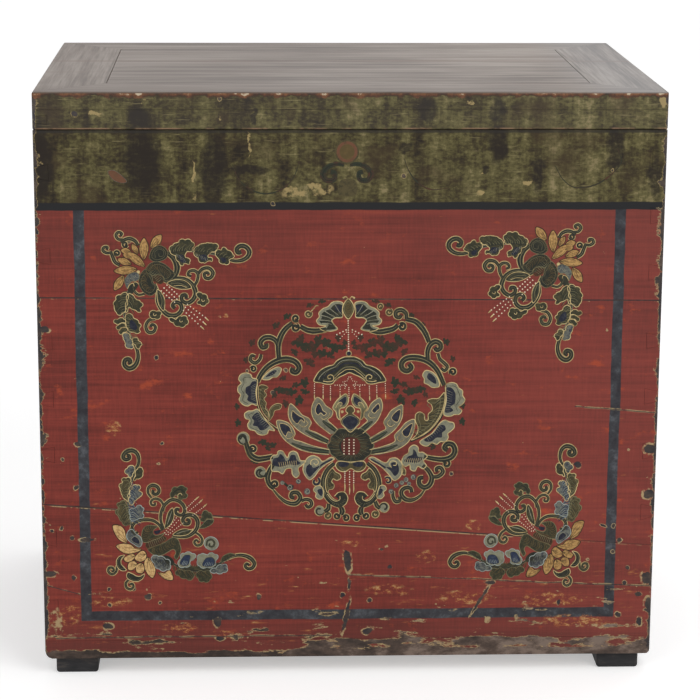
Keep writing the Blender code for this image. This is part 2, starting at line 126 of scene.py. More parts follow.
class Graph:
    """One material's node tree, written with short calls."""

    def __init__(self, name: str) -> None:
        """Starts a material with a Principled shader and the object's own coordinates.

        Args:
            name: The material's name.
        """
        self.material = bpy.data.materials.new(name)
        self.material.use_nodes = True
        self.tree = self.material.node_tree
        self.tree.nodes.clear()
        output = self.put("ShaderNodeOutputMaterial")
        self.shader = self.put("ShaderNodeBsdfPrincipled")
        self.tree.links.new(self.shader.outputs[0], output.inputs[0])
        self.place = self.put("ShaderNodeTexCoord").outputs["Object"]
        parts = self.put("ShaderNodeSeparateXYZ")
        self.wire(self.place, parts.inputs[0])
        self.x, self.y, self.z = parts.outputs

    def put(self, kind: str, **settings: object) -> bpy.types.Node:
        """Adds a node.

        Args:
            kind: The node's type name.
            **settings: Properties to set on it.

        Returns:
            The new node.
        """
        node = self.tree.nodes.new(kind)
        for name, value in settings.items():
            setattr(node, name, value)
        return node

    def wire(self, value: Union[Value, Tint], socket: Socket) -> None:
        """Links a socket, or sets its own value.

        Args:
            value: An output socket, a number or a colour.
            socket: The input to feed.
        """
        if isinstance(value, bpy.types.NodeSocket):
            self.tree.links.new(value, socket)
        elif isinstance(value, tuple) and len(socket.default_value) == 4:
            socket.default_value = (*value, 1.0)
        else:
            socket.default_value = value

    def math(self, operation: str, first: Value, second: Value = 0.0, third: Value = 0.0) -> Socket:
        """Adds a Math node.

        Args:
            operation: Blender's name of the operation.
            first: Its first value.
            second: Its second value.
            third: Its third value, where the operation has one.

        Returns:
            The result.
        """
        node = self.put("ShaderNodeMath", operation=operation)
        for value, socket in zip((first, second, third), node.inputs):
            self.wire(value, socket)
        return node.outputs[0]

    def add(self, first: Value, second: Value) -> Socket:
        """Sum of two values."""
        return self.math("ADD", first, second)

    def minus(self, first: Value, second: Value) -> Socket:
        """First value less the second."""
        return self.math("SUBTRACT", first, second)

    def times(self, first: Value, second: Value) -> Socket:
        """Product of two values."""
        return self.math("MULTIPLY", first, second)

    def most(self, *values: Value) -> Socket:
        """Largest of several values."""
        result = values[0]
        for value in values[1:]:
            result = self.math("MAXIMUM", result, value)
        return result

    def least(self, first: Value, second: Value) -> Socket:
        """Smaller of two values."""
        return self.math("MINIMUM", first, second)

    def size(self, value: Value) -> Socket:
        """Absolute value."""
        return self.math("ABSOLUTE", value)

    def step(self, value: Value, start: float, end: float, low: float = 0.0, high: float = 1.0) -> Socket:
        """Eases from one level to another.

        Args:
            value: The value to read.
            start: Where the change starts.
            end: Where it is complete. It may lie below start.
            low: Level before start.
            high: Level after end.

        Returns:
            The eased level.
        """
        node = self.put("ShaderNodeMapRange", interpolation_type="SMOOTHSTEP")
        if start > end:
            start, end, low, high = end, start, high, low
        for socket, number in zip(node.inputs, (value, start, end, low, high)):
            self.wire(number, socket)
        return node.outputs[0]

    def span(self, value: Value, ends: Tuple[float, float], soft: float = 0.0006) -> Socket:
        """One between two places and nothing outside them.

        Args:
            value: The value to read.
            ends: The two places.
            soft: Half the width of the soft edge.

        Returns:
            The mask.
        """
        rise = self.step(value, ends[0] - soft, ends[0] + soft)
        fall = self.step(value, ends[1] + soft, ends[1] - soft)
        return self.times(rise, fall)

    def mapped(self, stretch: Sequence[float], offset: Sequence[float] = (0.0, 0.0, 0.0)) -> Socket:
        """The object's coordinates, stretched and moved.

        Args:
            stretch: Repeats per metre along each axis.
            offset: Move after the stretch.

        Returns:
            The coordinates.
        """
        node = self.put("ShaderNodeMapping")
        self.wire(self.place, node.inputs["Vector"])
        node.inputs["Scale"].default_value = stretch
        node.inputs["Location"].default_value = offset
        return node.outputs[0]

    def noise(self, stretch: Sequence[float], detail: float = 3.0, rough: float = 0.55,
              offset: float = 0.0) -> Socket:
        """Smooth noise around one half.

        Args:
            stretch: Repeats per metre along each axis.
            detail: Finer layers to add.
            rough: How much the finer layers count.
            offset: Moves the pattern, so that two noises differ.

        Returns:
            The noise.
        """
        place = self.mapped(stretch, (offset, offset, offset))
        node = self.put("ShaderNodeTexNoise")
        self.wire(place, node.inputs["Vector"])
        node.inputs["Scale"].default_value = 1.0
        node.inputs["Detail"].default_value = detail
        node.inputs["Roughness"].default_value = rough
        return node.outputs[0]

    def ragged(self, scale: float, reach: float, offset: float = 0.0) -> Tuple[Socket, Socket]:
        """Places across and up, pushed about a little, for ragged edges.

        Args:
            scale: Repeats of the push per metre.
            reach: Full width of the push in metres.
            offset: Moves the pattern, so that two pushes differ.

        Returns:
            The place across and the place up.
        """
        across = self.noise((scale, scale, scale), 3.0, 0.6, offset)
        across = self.math("MULTIPLY_ADD", across, reach, self.minus(self.x, reach / 2))
        up = self.noise((scale, scale, scale), 3.0, 0.6, offset + 11.0)
        up = self.math("MULTIPLY_ADD", up, reach, self.minus(self.z, reach / 2))
        return across, up

    def spots(self, chips: Sequence[Chip], across: Socket, up: Socket) -> Socket:
        """Squared distance to the nearest of several ellipses.

        Args:
            chips: The ellipses.
            across: Place across to measure from.
            up: Place up to measure from.

        Returns:
            Nothing at an ellipse's middle, one on its edge.
        """
        nearest: Value = 99.0
        for chip in chips:
            turn = math.radians(chip.turn)
            x, z = SHEET.x(chip.column), SHEET.z(chip.row)
            wide, high = chip.half_across * SHEET.step_across, chip.half_down * SHEET.step_down
            long = self.math("MULTIPLY_ADD", across, math.cos(turn) / wide,
                             (z * math.sin(turn) - x * math.cos(turn)) / wide)
            long = self.math("MULTIPLY_ADD", up, -math.sin(turn) / wide, long)
            short = self.math("MULTIPLY_ADD", across, math.sin(turn) / high,
                              -(x * math.sin(turn) + z * math.cos(turn)) / high)
            short = self.math("MULTIPLY_ADD", up, math.cos(turn) / high, short)
            square = self.math("MULTIPLY_ADD", short, short, self.times(long, long))
            nearest = self.least(nearest, square)
        return nearest

    def cells(self, scale: float) -> Tuple[Socket, Socket, Socket]:
        """Scattered points, one to a cell.

        Args:
            scale: Cells per metre.

        Returns:
            Distance to the cell's point in cells, and two chance values of the cell.
        """
        place = self.mapped((scale, scale, scale))
        node = self.put("ShaderNodeTexVoronoi", voronoi_dimensions="3D")
        self.wire(place, node.inputs["Vector"])
        node.inputs["Scale"].default_value = 1.0
        chance = self.put("ShaderNodeSeparateColor")
        self.wire(node.outputs["Color"], chance.inputs[0])
        return node.outputs["Distance"], chance.outputs[0], chance.outputs[1]

    def blend(self, share: Value, first: Tint, second: Tint) -> Socket:
        """Mixes two colours.

        Args:
            share: How much of the second.
            first: One colour.
            second: The other.

        Returns:
            The mixed colour.
        """
        node = self.put("ShaderNodeMix", data_type="RGBA")
        self.wire(share, node.inputs[0])
        self.wire(first, node.inputs[6])
        self.wire(second, node.inputs[7])
        return node.outputs[2]

    def ramp(self, value: Value, stops: Sequence[Tuple[float, Colour]]) -> Socket:
        """Colours a value.

        Args:
            value: The value.
            stops: Places and their colours, lowest first.

        Returns:
            The colour.
        """
        node = self.put("ShaderNodeValToRGB")
        self.wire(value, node.inputs[0])
        elements = node.color_ramp.elements
        while len(elements) < len(stops):
            elements.new(1.0)
        for element, (place, colour) in zip(elements, stops):
            element.position = place
            element.color = (*colour, 1.0)
        return node.outputs[0]

    def finish(self, colour: Tint, rough: Value, height: Optional[Socket] = None, depth: float = 0.0003,
               metal: float = 0.0, gloss: float = 0.5) -> bpy.types.Material:
        """Feeds the shader.

        Args:
            colour: Base colour.
            rough: Roughness.
            height: Height for the bump.
            depth: Depth of the bump in metres.
            metal: Metallic share.
            gloss: Specular level.

        Returns:
            The finished material.
        """
        self.wire(colour, self.shader.inputs["Base Color"])
        self.wire(rough, self.shader.inputs["Roughness"])
        self.shader.inputs["Metallic"].default_value = metal
        self.shader.inputs["Specular IOR Level"].default_value = gloss
        if height is not None:
            bump = self.put("ShaderNodeBump")
            bump.inputs["Strength"].default_value = 1.0
            bump.inputs["Distance"].default_value = depth
            self.wire(height, bump.inputs["Height"])
            self.wire(bump.outputs[0], self.shader.inputs["Normal"])
        return self.material


@dataclass(frozen=True)
class Wood:
    """A bare or worn board: its colours from dark grain to light, and its sheen."""

    dark: Colour
    middle: Colour
    light: Colour
    rough: float
    along: float = 7.0
    crosswise: float = 260.0
    contrast: float = 1.0

    def colour(self, graph: Graph, grain: Grain) -> Tuple[Socket, Socket]:
        """Draws the grain.

        Args:
            graph: The material to draw in.
            grain: The way the grain runs.

        Returns:
            The colour, and a height for the bump.
        """
        across = grain is Grain.ACROSS
        fine = (self.along, self.crosswise, self.crosswise)
        broad = (self.along * 0.28, self.crosswise * 0.17, self.crosswise * 0.17)
        if not across:
            fine = (fine[1], fine[0], fine[2])
            broad = (broad[1], broad[0], broad[2])
        pores = graph.noise(fine, 5.0, 0.62)
        figure = graph.noise(broad, 4.0, 0.6, 3.7)
        cloud = graph.noise((5.0, 5.0, 5.0), 3.0, 0.5, 8.1)
        tone = graph.add(graph.times(pores, 0.42), graph.times(figure, 0.40))
        tone = graph.add(tone, graph.times(cloud, 0.18))
        reach = 0.16 / self.contrast
        stops = ((0.50 - reach, self.dark), (0.50, self.middle), (0.50 + reach, self.light))
        return graph.ramp(tone, stops), tone


BARE_WOOD = Wood((0.15, 0.088, 0.048), (0.27, 0.172, 0.098), (0.37, 0.255, 0.155), 0.72)
WORN_TOP = Wood((0.060, 0.042, 0.032), (0.165, 0.131, 0.109), (0.285, 0.245, 0.212), 0.45, contrast=2.2)


@dataclass(frozen=True)
class Lacquer:
    """The dark lacquer of the sides and the back."""

    dark: Colour = (0.040, 0.014, 0.012)
    middle: Colour = (0.078, 0.024, 0.020)
    light: Colour = (0.125, 0.040, 0.030)
    bare: Colour = (0.120, 0.082, 0.058)

    def colour(self, graph: Graph) -> Socket:
        """Draws brushed lacquer with rubs.

        Args:
            graph: The material to draw in.

        Returns:
            The colour.
        """
        brush = graph.noise((9.0, 9.0, 210.0), 4.0, 0.6, 5.2)
        cloud = graph.noise((4.0, 4.0, 6.0), 4.0, 0.55, 2.9)
        tone = graph.add(graph.times(brush, 0.5), graph.times(cloud, 0.5))
        paint = graph.ramp(tone, ((0.36, self.dark), (0.5, self.middle), (0.66, self.light)))
        rub = graph.noise((30.0, 30.0, 90.0), 5.0, 0.62, 6.6)
        return graph.blend(graph.step(rub, 0.68, 0.74), paint, self.bare)


@dataclass(frozen=True)
class FrontPaint:
    """The painted front: green band, black band, red field, frame lines, and where they are worn."""

    green_foot: float = 0.6167
    black_foot: float = 0.6076
    left_line: Tuple[float, float] = (-0.3426, -0.3290)
    right_line: Tuple[float, float] = (0.3281, 0.3411)
    bottom_line: Tuple[float, float] = (0.0750, 0.0880)
    seam_low: Tuple[float, float] = (0.231, 0.171)
    seam_high: Tuple[float, float] = (0.498, 0.492)
    crack: Tuple[Point, Point] = ((345.0, 573.5), (664.0, 587.5))
    side_crack: Tuple[Point, Point] = ((36.0, 581.0), (76.0, 592.0))
    foot_crack: Tuple[Point, Point] = ((44.0, 635.5), (335.0, 634.5))
    edge_crack: Tuple[Point, Point] = ((575.0, 406.0), (664.0, 412.5))
    cream: Colour = (0.36, 0.270, 0.140)
    scar: Tuple[Tuple[float, Colour], ...] = (
        (0.40, (0.024, 0.022, 0.025)), (0.56, (0.052, 0.040, 0.034)), (0.70, (0.110, 0.080, 0.060)),
    )
    worn: Tuple[Tuple[float, Colour], ...] = (
        (0.34, (0.034, 0.026, 0.022)), (0.50, (0.078, 0.055, 0.044)), (0.64, (0.175, 0.130, 0.104)),
    )
    chips: Tuple[Chip, ...] = (
        Chip(42, 327, 7.5, 4), Chip(42.5, 570.5, 8, 3.5), Chip(657, 449, 8, 6), Chip(657, 494.5, 8, 5.5),
        Chip(658, 579, 7, 8), Chip(660, 605, 5, 8), Chip(347.5, 559, 4.5, 14.5, -6), Chip(349.4, 583, 2, 7),
        Chip(346.5, 615, 3, 21, 12), Chip(368.6, 631, 7, 4, -12), Chip(485.5, 600, 2, 21, 31),
        Chip(495.5, 582.5, 6.5, 2.6), Chip(213.5, 620.5, 4.6, 6.8), Chip(216, 637, 5.5, 3),
        Chip(100.4, 623.4, 7.2, 4.0, 6), Chip(583, 464, 5, 4), Chip(72.7, 441, 4, 3.4), Chip(81, 536.7, 9, 2.4),
        Chip(66, 534.5, 3.4, 2.6), Chip(142.4, 594, 4.4, 3), Chip(158.9, 440.5, 2, 1.7), Chip(57.7, 456, 2.4, 1.8),
        Chip(71.2, 484, 3, 2.6), Chip(45.7, 527.4, 2.4, 2), Chip(55.2, 525.2, 2.2, 1.8), Chip(66, 574.6, 3, 2.8),
        Chip(343, 594.7, 3.6, 3), Chip(256, 595.4, 3.4, 3), Chip(391.5, 566, 3, 2.6), Chip(370.5, 600.3, 3, 2.8),
        Chip(382.4, 548.4, 3, 2), Chip(628.2, 540.7, 3.4, 3.2), Chip(610.7, 526, 4.4, 2, 20),
        Chip(649.2, 595.7, 4.6, 2.6), Chip(652, 623.5, 3.6, 5.4), Chip(629, 616.5, 4.2, 3.4),
        Chip(637.3, 568.8, 2.4, 2.2), Chip(567.2, 603, 2.4, 3.4), Chip(77, 116, 3.6, 3.2),
    )
    losses: Tuple[Chip, ...] = (
        Chip(306, 191, 28, 6, -6), Chip(193.5, 180, 1.8, 22), Chip(248, 146, 1.4, 15), Chip(216, 315, 4.5, 1.4),
        Chip(465.6, 105.4, 3, 2), Chip(220, 119.7, 2, 1.6), Chip(477, 193, 3, 3), Chip(525, 184, 5, 3),
        Chip(97, 115.6, 8, 2), Chip(492, 619, 5, 5), Chip(48, 618, 8, 16),
        Chip(523, 621, 5, 6), Chip(585, 626, 6, 4), Chip(607, 628, 10, 3), Chip(659, 100, 6, 9),
    )
    rubs: Tuple[Chip, ...] = (
        Chip(104, 599, 22, 6), Chip(176, 627, 22, 5), Chip(351, 541, 12, 5, 8), Chip(222, 634, 10, 4),
        Chip(62, 612, 12, 12), Chip(470, 598, 30, 7), Chip(560, 600, 40, 7), Chip(585, 622, 40, 7),
        Chip(390, 590, 26, 7), Chip(220, 315, 6, 4), Chip(110, 425, 9, 8), Chip(476, 525, 8, 7), Chip(430, 557, 14, 6),
    )
    stains: Tuple[Chip, ...] = (
        Chip(142.5, 162, 19, 31), Chip(212.5, 168, 13, 33), Chip(140, 118, 11, 9), Chip(253, 117, 3.5, 10),
        Chip(424.5, 112, 9, 14), Chip(494.5, 112, 8, 14), Chip(494.5, 146, 10, 19), Chip(482, 171, 4, 5),
        Chip(535.5, 176, 7, 17), Chip(403, 150, 7, 5), Chip(248, 171, 19, 5), Chip(44, 165, 10, 36),
        Chip(612, 150, 9, 22), Chip(652, 178, 7, 20),
    )

    def line_height(self, graph: Graph, ends: Tuple[float, float]) -> Socket:
        """Height of a straight seam that runs from the left end to the right end.

        Args:
            graph: The material to draw in.
            ends: Height at the left and at the right.

        Returns:
            The height at each place across.
        """
        slope = (ends[1] - ends[0]) / (2 * HALF_WIDTH)
        return graph.add(graph.times(graph.x, slope), (ends[0] + ends[1]) / 2)

    def crack_gap(self, graph: Graph, ends: Tuple[Point, Point], wander: Socket) -> Socket:
        """Height above a crack, large beyond its ends.

        Args:
            graph: The material to draw in.
            ends: The crack's two ends on the sheet.
            wander: Small ups and downs.

        Returns:
            The signed distance in metres.
        """
        (left, left_row), (right, right_row) = ends
        slope = (SHEET.z(right_row) - SHEET.z(left_row)) / (SHEET.x(right) - SHEET.x(left))
        level = graph.add(graph.times(graph.x, slope), SHEET.z(left_row) - slope * SHEET.x(left))
        gap = graph.minus(graph.add(graph.z, wander), level)
        inside = graph.span(graph.x, (SHEET.x(left), SHEET.x(right)), 0.004)
        return graph.add(gap, graph.times(graph.minus(1.0, inside), 1.0))

    def red(self, graph: Graph) -> Socket:
        """Brushed red with darker clouds and orange rubs."""
        brush = graph.noise((7.0, 7.0, 250.0), 4.0, 0.62)
        sweep = graph.noise((1.8, 1.8, 70.0), 3.0, 0.6, 4.4)
        cloud = graph.noise((5.0, 5.0, 7.0), 4.0, 0.6, 1.3)
        thread = graph.noise((420.0, 9.0, 40.0), 2.0, 0.5, 7.7)
        tone = graph.add(graph.times(brush, 0.34), graph.times(sweep, 0.16))
        tone = graph.add(tone, graph.add(graph.times(cloud, 0.36), graph.times(thread, 0.14)))
        paint = graph.ramp(tone, ((0.36, (0.078, 0.018, 0.014)), (0.49, (0.148, 0.028, 0.021)),
                                  (0.58, (0.196, 0.036, 0.026)), (0.68, (0.270, 0.056, 0.030))))
        paint = graph.blend(graph.step(graph.x, -0.05, 0.36, 0.0, 0.20), paint, (0.235, 0.066, 0.056))
        ember = graph.noise((34.0, 10.0, 60.0), 5.0, 0.65, 3.1)
        paint = graph.blend(graph.step(ember, 0.60, 0.74, 0.0, 0.75), paint, (0.320, 0.056, 0.024))
        fleck = graph.noise((30.0, 10.0, 150.0), 5.0, 0.65, 9.3)
        low = graph.step(graph.z, 0.38, 0.08, 0.0, 0.080)
        fleck = graph.add(fleck, low)
        dim = graph.most(graph.step(graph.z, 0.10, 0.04, 0.0, 0.40), graph.step(graph.z, 0.49, 0.58, 0.0, 0.20))
        paint = graph.blend(dim, paint, (0.086, 0.034, 0.029))
        paint = graph.blend(graph.step(fleck, 0.69, 0.77, 0.0, 0.70), paint, (0.28, 0.090, 0.036))
        return graph.blend(graph.step(fleck, 0.775, 0.81, 0.0, 0.80), paint, (0.38, 0.23, 0.10))

    def green(self, graph: Graph) -> Socket:
        """Mottled green with dark stains."""
        run = graph.noise((52.0, 9.0, 6.0), 5.0, 0.66, 2.2)
        cloud = graph.noise((26.0, 26.0, 38.0), 8.0, 0.76, 3.3)
        fine = graph.noise((150.0, 150.0, 240.0), 4.0, 0.70, 5.0)
        tone = graph.add(graph.times(run, 0.34), graph.times(cloud, 0.38))
        tone = graph.add(tone, graph.times(fine, 0.28))
        tone = graph.add(tone, graph.step(graph.x, -HALF_WIDTH, HALF_WIDTH, -0.014, 0.012))
        paint = graph.ramp(tone, ((0.40, (0.016, 0.012, 0.008)), (0.455, (0.034, 0.026, 0.013)),
                                  (0.50, (0.062, 0.052, 0.021)), (0.55, (0.104, 0.090, 0.037)),
                                  (0.61, (0.200, 0.160, 0.080))))
        scratch = graph.noise((22.0, 22.0, 430.0), 4.0, 0.66, 8.2)
        paint = graph.blend(graph.step(scratch, 0.60, 0.72, 0.0, 0.65), paint, (0.240, 0.200, 0.098))
        veil = graph.noise((11.0, 11.0, 16.0), 4.0, 0.62, 6.4)
        paint = graph.blend(graph.step(veil, 0.50, 0.66, 0.0, 0.55), paint, (0.040, 0.026, 0.014))
        stain = graph.spots(self.stains, *graph.ragged(64.0, 0.022, 2.0))
        strength = graph.times(graph.step(stain, 1.50, 0.40), graph.step(tone, 0.64, 0.44, 0.50, 0.96))
        return graph.blend(strength, paint, (0.016, 0.012, 0.009))

    def loss(self, graph: Graph) -> Tuple[Socket, Socket, Socket]:
        """Where the paint is gone.

        Args:
            graph: The material to draw in.

        Returns:
            Masks of the cream ground, of the dark scars and of worn wood.
        """
        chip = graph.spots(self.chips, *graph.ragged(95.0, 0.0075))
        patch = graph.noise((60.0, 60.0, 60.0), 4.0, 0.65, 5.5)
        cream = graph.times(graph.step(chip, 1.2, 1.0), graph.step(patch, 0.44, 0.56, 0.0, 1.0))
        scar = graph.step(chip, 0.66, 0.52)
        bare = graph.spots(self.losses, *graph.ragged(70.0, 0.018, 5.0))
        flaked = graph.times(graph.step(bare, 1.0, 0.6), graph.step(patch, 0.44, 0.54))
        cream = graph.most(cream, flaked)

        distance, chance, amount = graph.cells(62.0)
        grit = graph.noise((240.0, 240.0, 240.0), 2.0, 0.5, 6.0)
        distance = graph.add(distance, graph.times(graph.minus(grit, 0.5), 0.22))
        edge = graph.minus(HALF_WIDTH, graph.size(graph.x))
        chance = graph.add(chance, graph.step(graph.z, 0.26, 0.08, 0.0, 0.055))
        chance = graph.add(chance, graph.step(edge, 0.09, 0.02, 0.0, 0.05))
        reach = graph.times(graph.step(chance, 0.95, 0.955), graph.add(graph.times(amount, 0.17), 0.05))
        depth = graph.minus(reach, distance)
        cream = graph.most(cream, graph.step(depth, 0.0, 0.02, 0.0, 0.85))
        scar = graph.most(scar, graph.step(depth, 0.045, 0.065))

        crumble = graph.noise((46.0, 46.0, 60.0), 5.0, 0.66, 4.9)
        rubbed = graph.add(crumble, graph.step(edge, 0.020, 0.0, 0.0, 0.21))
        rubbed = graph.add(rubbed, graph.step(edge, 0.006, 0.002, 0.0, 0.12))
        cream = graph.most(cream, graph.step(rubbed, 0.725, 0.75, 0.0, 0.8))
        scar = graph.most(scar, graph.step(rubbed, 0.755, 0.78))

        foot = graph.times(graph.step(graph.z, 0.052, 0.046, 0.0, 0.15), graph.step(graph.x, -0.10, 0.02))
        foot = graph.add(foot, graph.step(graph.z, 0.075, 0.17, 0.0, -0.13))
        foot = graph.add(foot, graph.step(graph.z, 0.037, 0.026, 0.0, 0.30))
        foot = graph.add(foot, graph.step(graph.z, 0.076, 0.052, 0.0, 0.05))
        crumble_low = graph.add(graph.noise((19.0, 19.0, 75.0), 5.0, 0.66, 7.1), foot)
        rim = graph.times(graph.step(crumble_low, 0.62, 0.645), graph.step(patch, 0.36, 0.50))
        cream = graph.most(cream, rim)
        worn = graph.step(crumble_low, 0.65, 0.675)

        wander = graph.times(graph.minus(graph.noise((22.0, 22.0, 22.0), 3.0, 0.6, 2.0), 0.5), 0.005)
        middle = graph.times(graph.span(graph.x, (-0.045, 0.137), 0.03), 0.12)
        fading = graph.step(graph.x, 0.20, 0.30, 1.0, 0.30)
        seams = ((self.seam_low, graph.add(patch, middle), fading), (self.seam_high, graph.minus(patch, 0.12), 1.0))
        for ends, cover, share in seams:
            gap = graph.minus(graph.z, self.line_height(graph, ends))
            lip = graph.times(graph.span(gap, (-0.0021, -0.0008), 0.0004), graph.step(cover, 0.46, 0.56))
            cream = graph.most(cream, graph.times(lip, share))
            split = graph.times(graph.span(gap, (-0.0008, 0.0010), 0.0004), graph.step(patch, 0.34, 0.54, 0.45, 0.9))
            scar = graph.most(scar, graph.times(split, share))
        for ends in (self.crack, self.side_crack, self.foot_crack, self.edge_crack):
            gap = self.crack_gap(graph, ends, wander)
            lip = graph.span(gap, (-0.0009, 0.0014), 0.0005)
            cream = graph.most(cream, graph.times(lip, graph.step(patch, 0.44, 0.56)))
            scar = graph.most(scar, graph.span(gap, (-0.0006, 0.0005), 0.0003))
        return cream, scar, worn

    def colour(self, graph: Graph) -> Socket:
        """Draws the whole front.

        Args:
            graph: The material to draw in.

        Returns:
            The colour.
        """
        wobble = graph.times(graph.minus(graph.noise((24.0, 24.0, 24.0), 3.0, 0.6, 1.9), 0.5), 0.0030)
        across = graph.add(graph.x, wobble)
        up = graph.add(graph.z, wobble)
        paint = self.red(graph)

        low, high = self.bottom_line[0], self.green_foot
        standing = graph.most(graph.span(across, self.left_line), graph.span(across, self.right_line))
        standing = graph.times(standing, graph.span(up, (low, high)))
        lying = graph.times(graph.span(up, self.bottom_line),
                            graph.span(across, (self.left_line[0], self.right_line[1])))
        lines = graph.most(standing, lying)
        smear = graph.noise((70.0, 20.0, 70.0), 6.0, 0.70, 8.8)
        ink = graph.ramp(smear, ((0.36, (0.021, 0.022, 0.026)), (0.54, (0.038, 0.041, 0.046)),
                                 (0.70, (0.084, 0.092, 0.102))))
        thin = graph.step(smear, 0.62, 0.80, 0.98, 0.88)
        paint = graph.blend(graph.times(lines, thin), paint, ink)
        black = graph.span(up, (self.black_foot, self.green_foot + 0.002))
        paint = graph.blend(black, paint, (0.014, 0.014, 0.015))
        paint = graph.blend(graph.step(up, self.green_foot, self.green_foot + 0.0012), paint, self.green(graph))

        lip = graph.span(graph.z, (SKIRT_FOOT - 0.0004, SKIRT_FOOT + 0.0019), 0.0004)
        shelf = graph.noise((35.0, 9.0, 30.0), 4.0, 0.65, 3.0)
        paint = graph.blend(graph.times(lip, graph.step(shelf, 0.42, 0.62, 0.0, 0.80)), paint, (0.23, 0.140, 0.082))
        # Painted shade: a dark strip along the case's rim, in the gap under the lid.
        painted_rim_shade = graph.span(graph.z, (RIM - 0.0035, RIM + 0.0006), 0.0010)
        paint = graph.blend(graph.times(painted_rim_shade, 0.75), paint, (0.020, 0.018, 0.016))

        rub = graph.spots(self.rubs, *graph.ragged(40.0, 0.02, 9.0))
        scuff = graph.noise((110.0, 20.0, 200.0), 5.0, 0.72, 4.2)
        bright = graph.ramp(scuff, ((0.48, (0.250, 0.056, 0.026)), (0.57, (0.340, 0.130, 0.046)),
                                    (0.66, (0.440, 0.290, 0.130))))
        share = graph.times(graph.step(rub, 1.25, 0.3), graph.step(scuff, 0.47, 0.60, 0.0, 0.85))
        paint = graph.blend(share, paint, bright)

        cream, scar, worn = self.loss(graph)
        on_green = graph.step(up, self.green_foot - 0.004, self.green_foot + 0.004)
        dull = graph.blend(on_green, self.cream, (0.300, 0.225, 0.100))
        paint = graph.blend(graph.times(cream, 0.85), paint, dull)
        age = graph.noise((34.0, 34.0, 60.0), 6.0, 0.70, 12.0)
        pit = graph.ramp(age, self.scar)
        age = graph.add(age, graph.step(graph.x, -0.12, 0.12, -0.11, 0.05))
        paint = graph.blend(worn, paint, graph.ramp(age, self.worn))
        return graph.blend(scar, paint, pit)


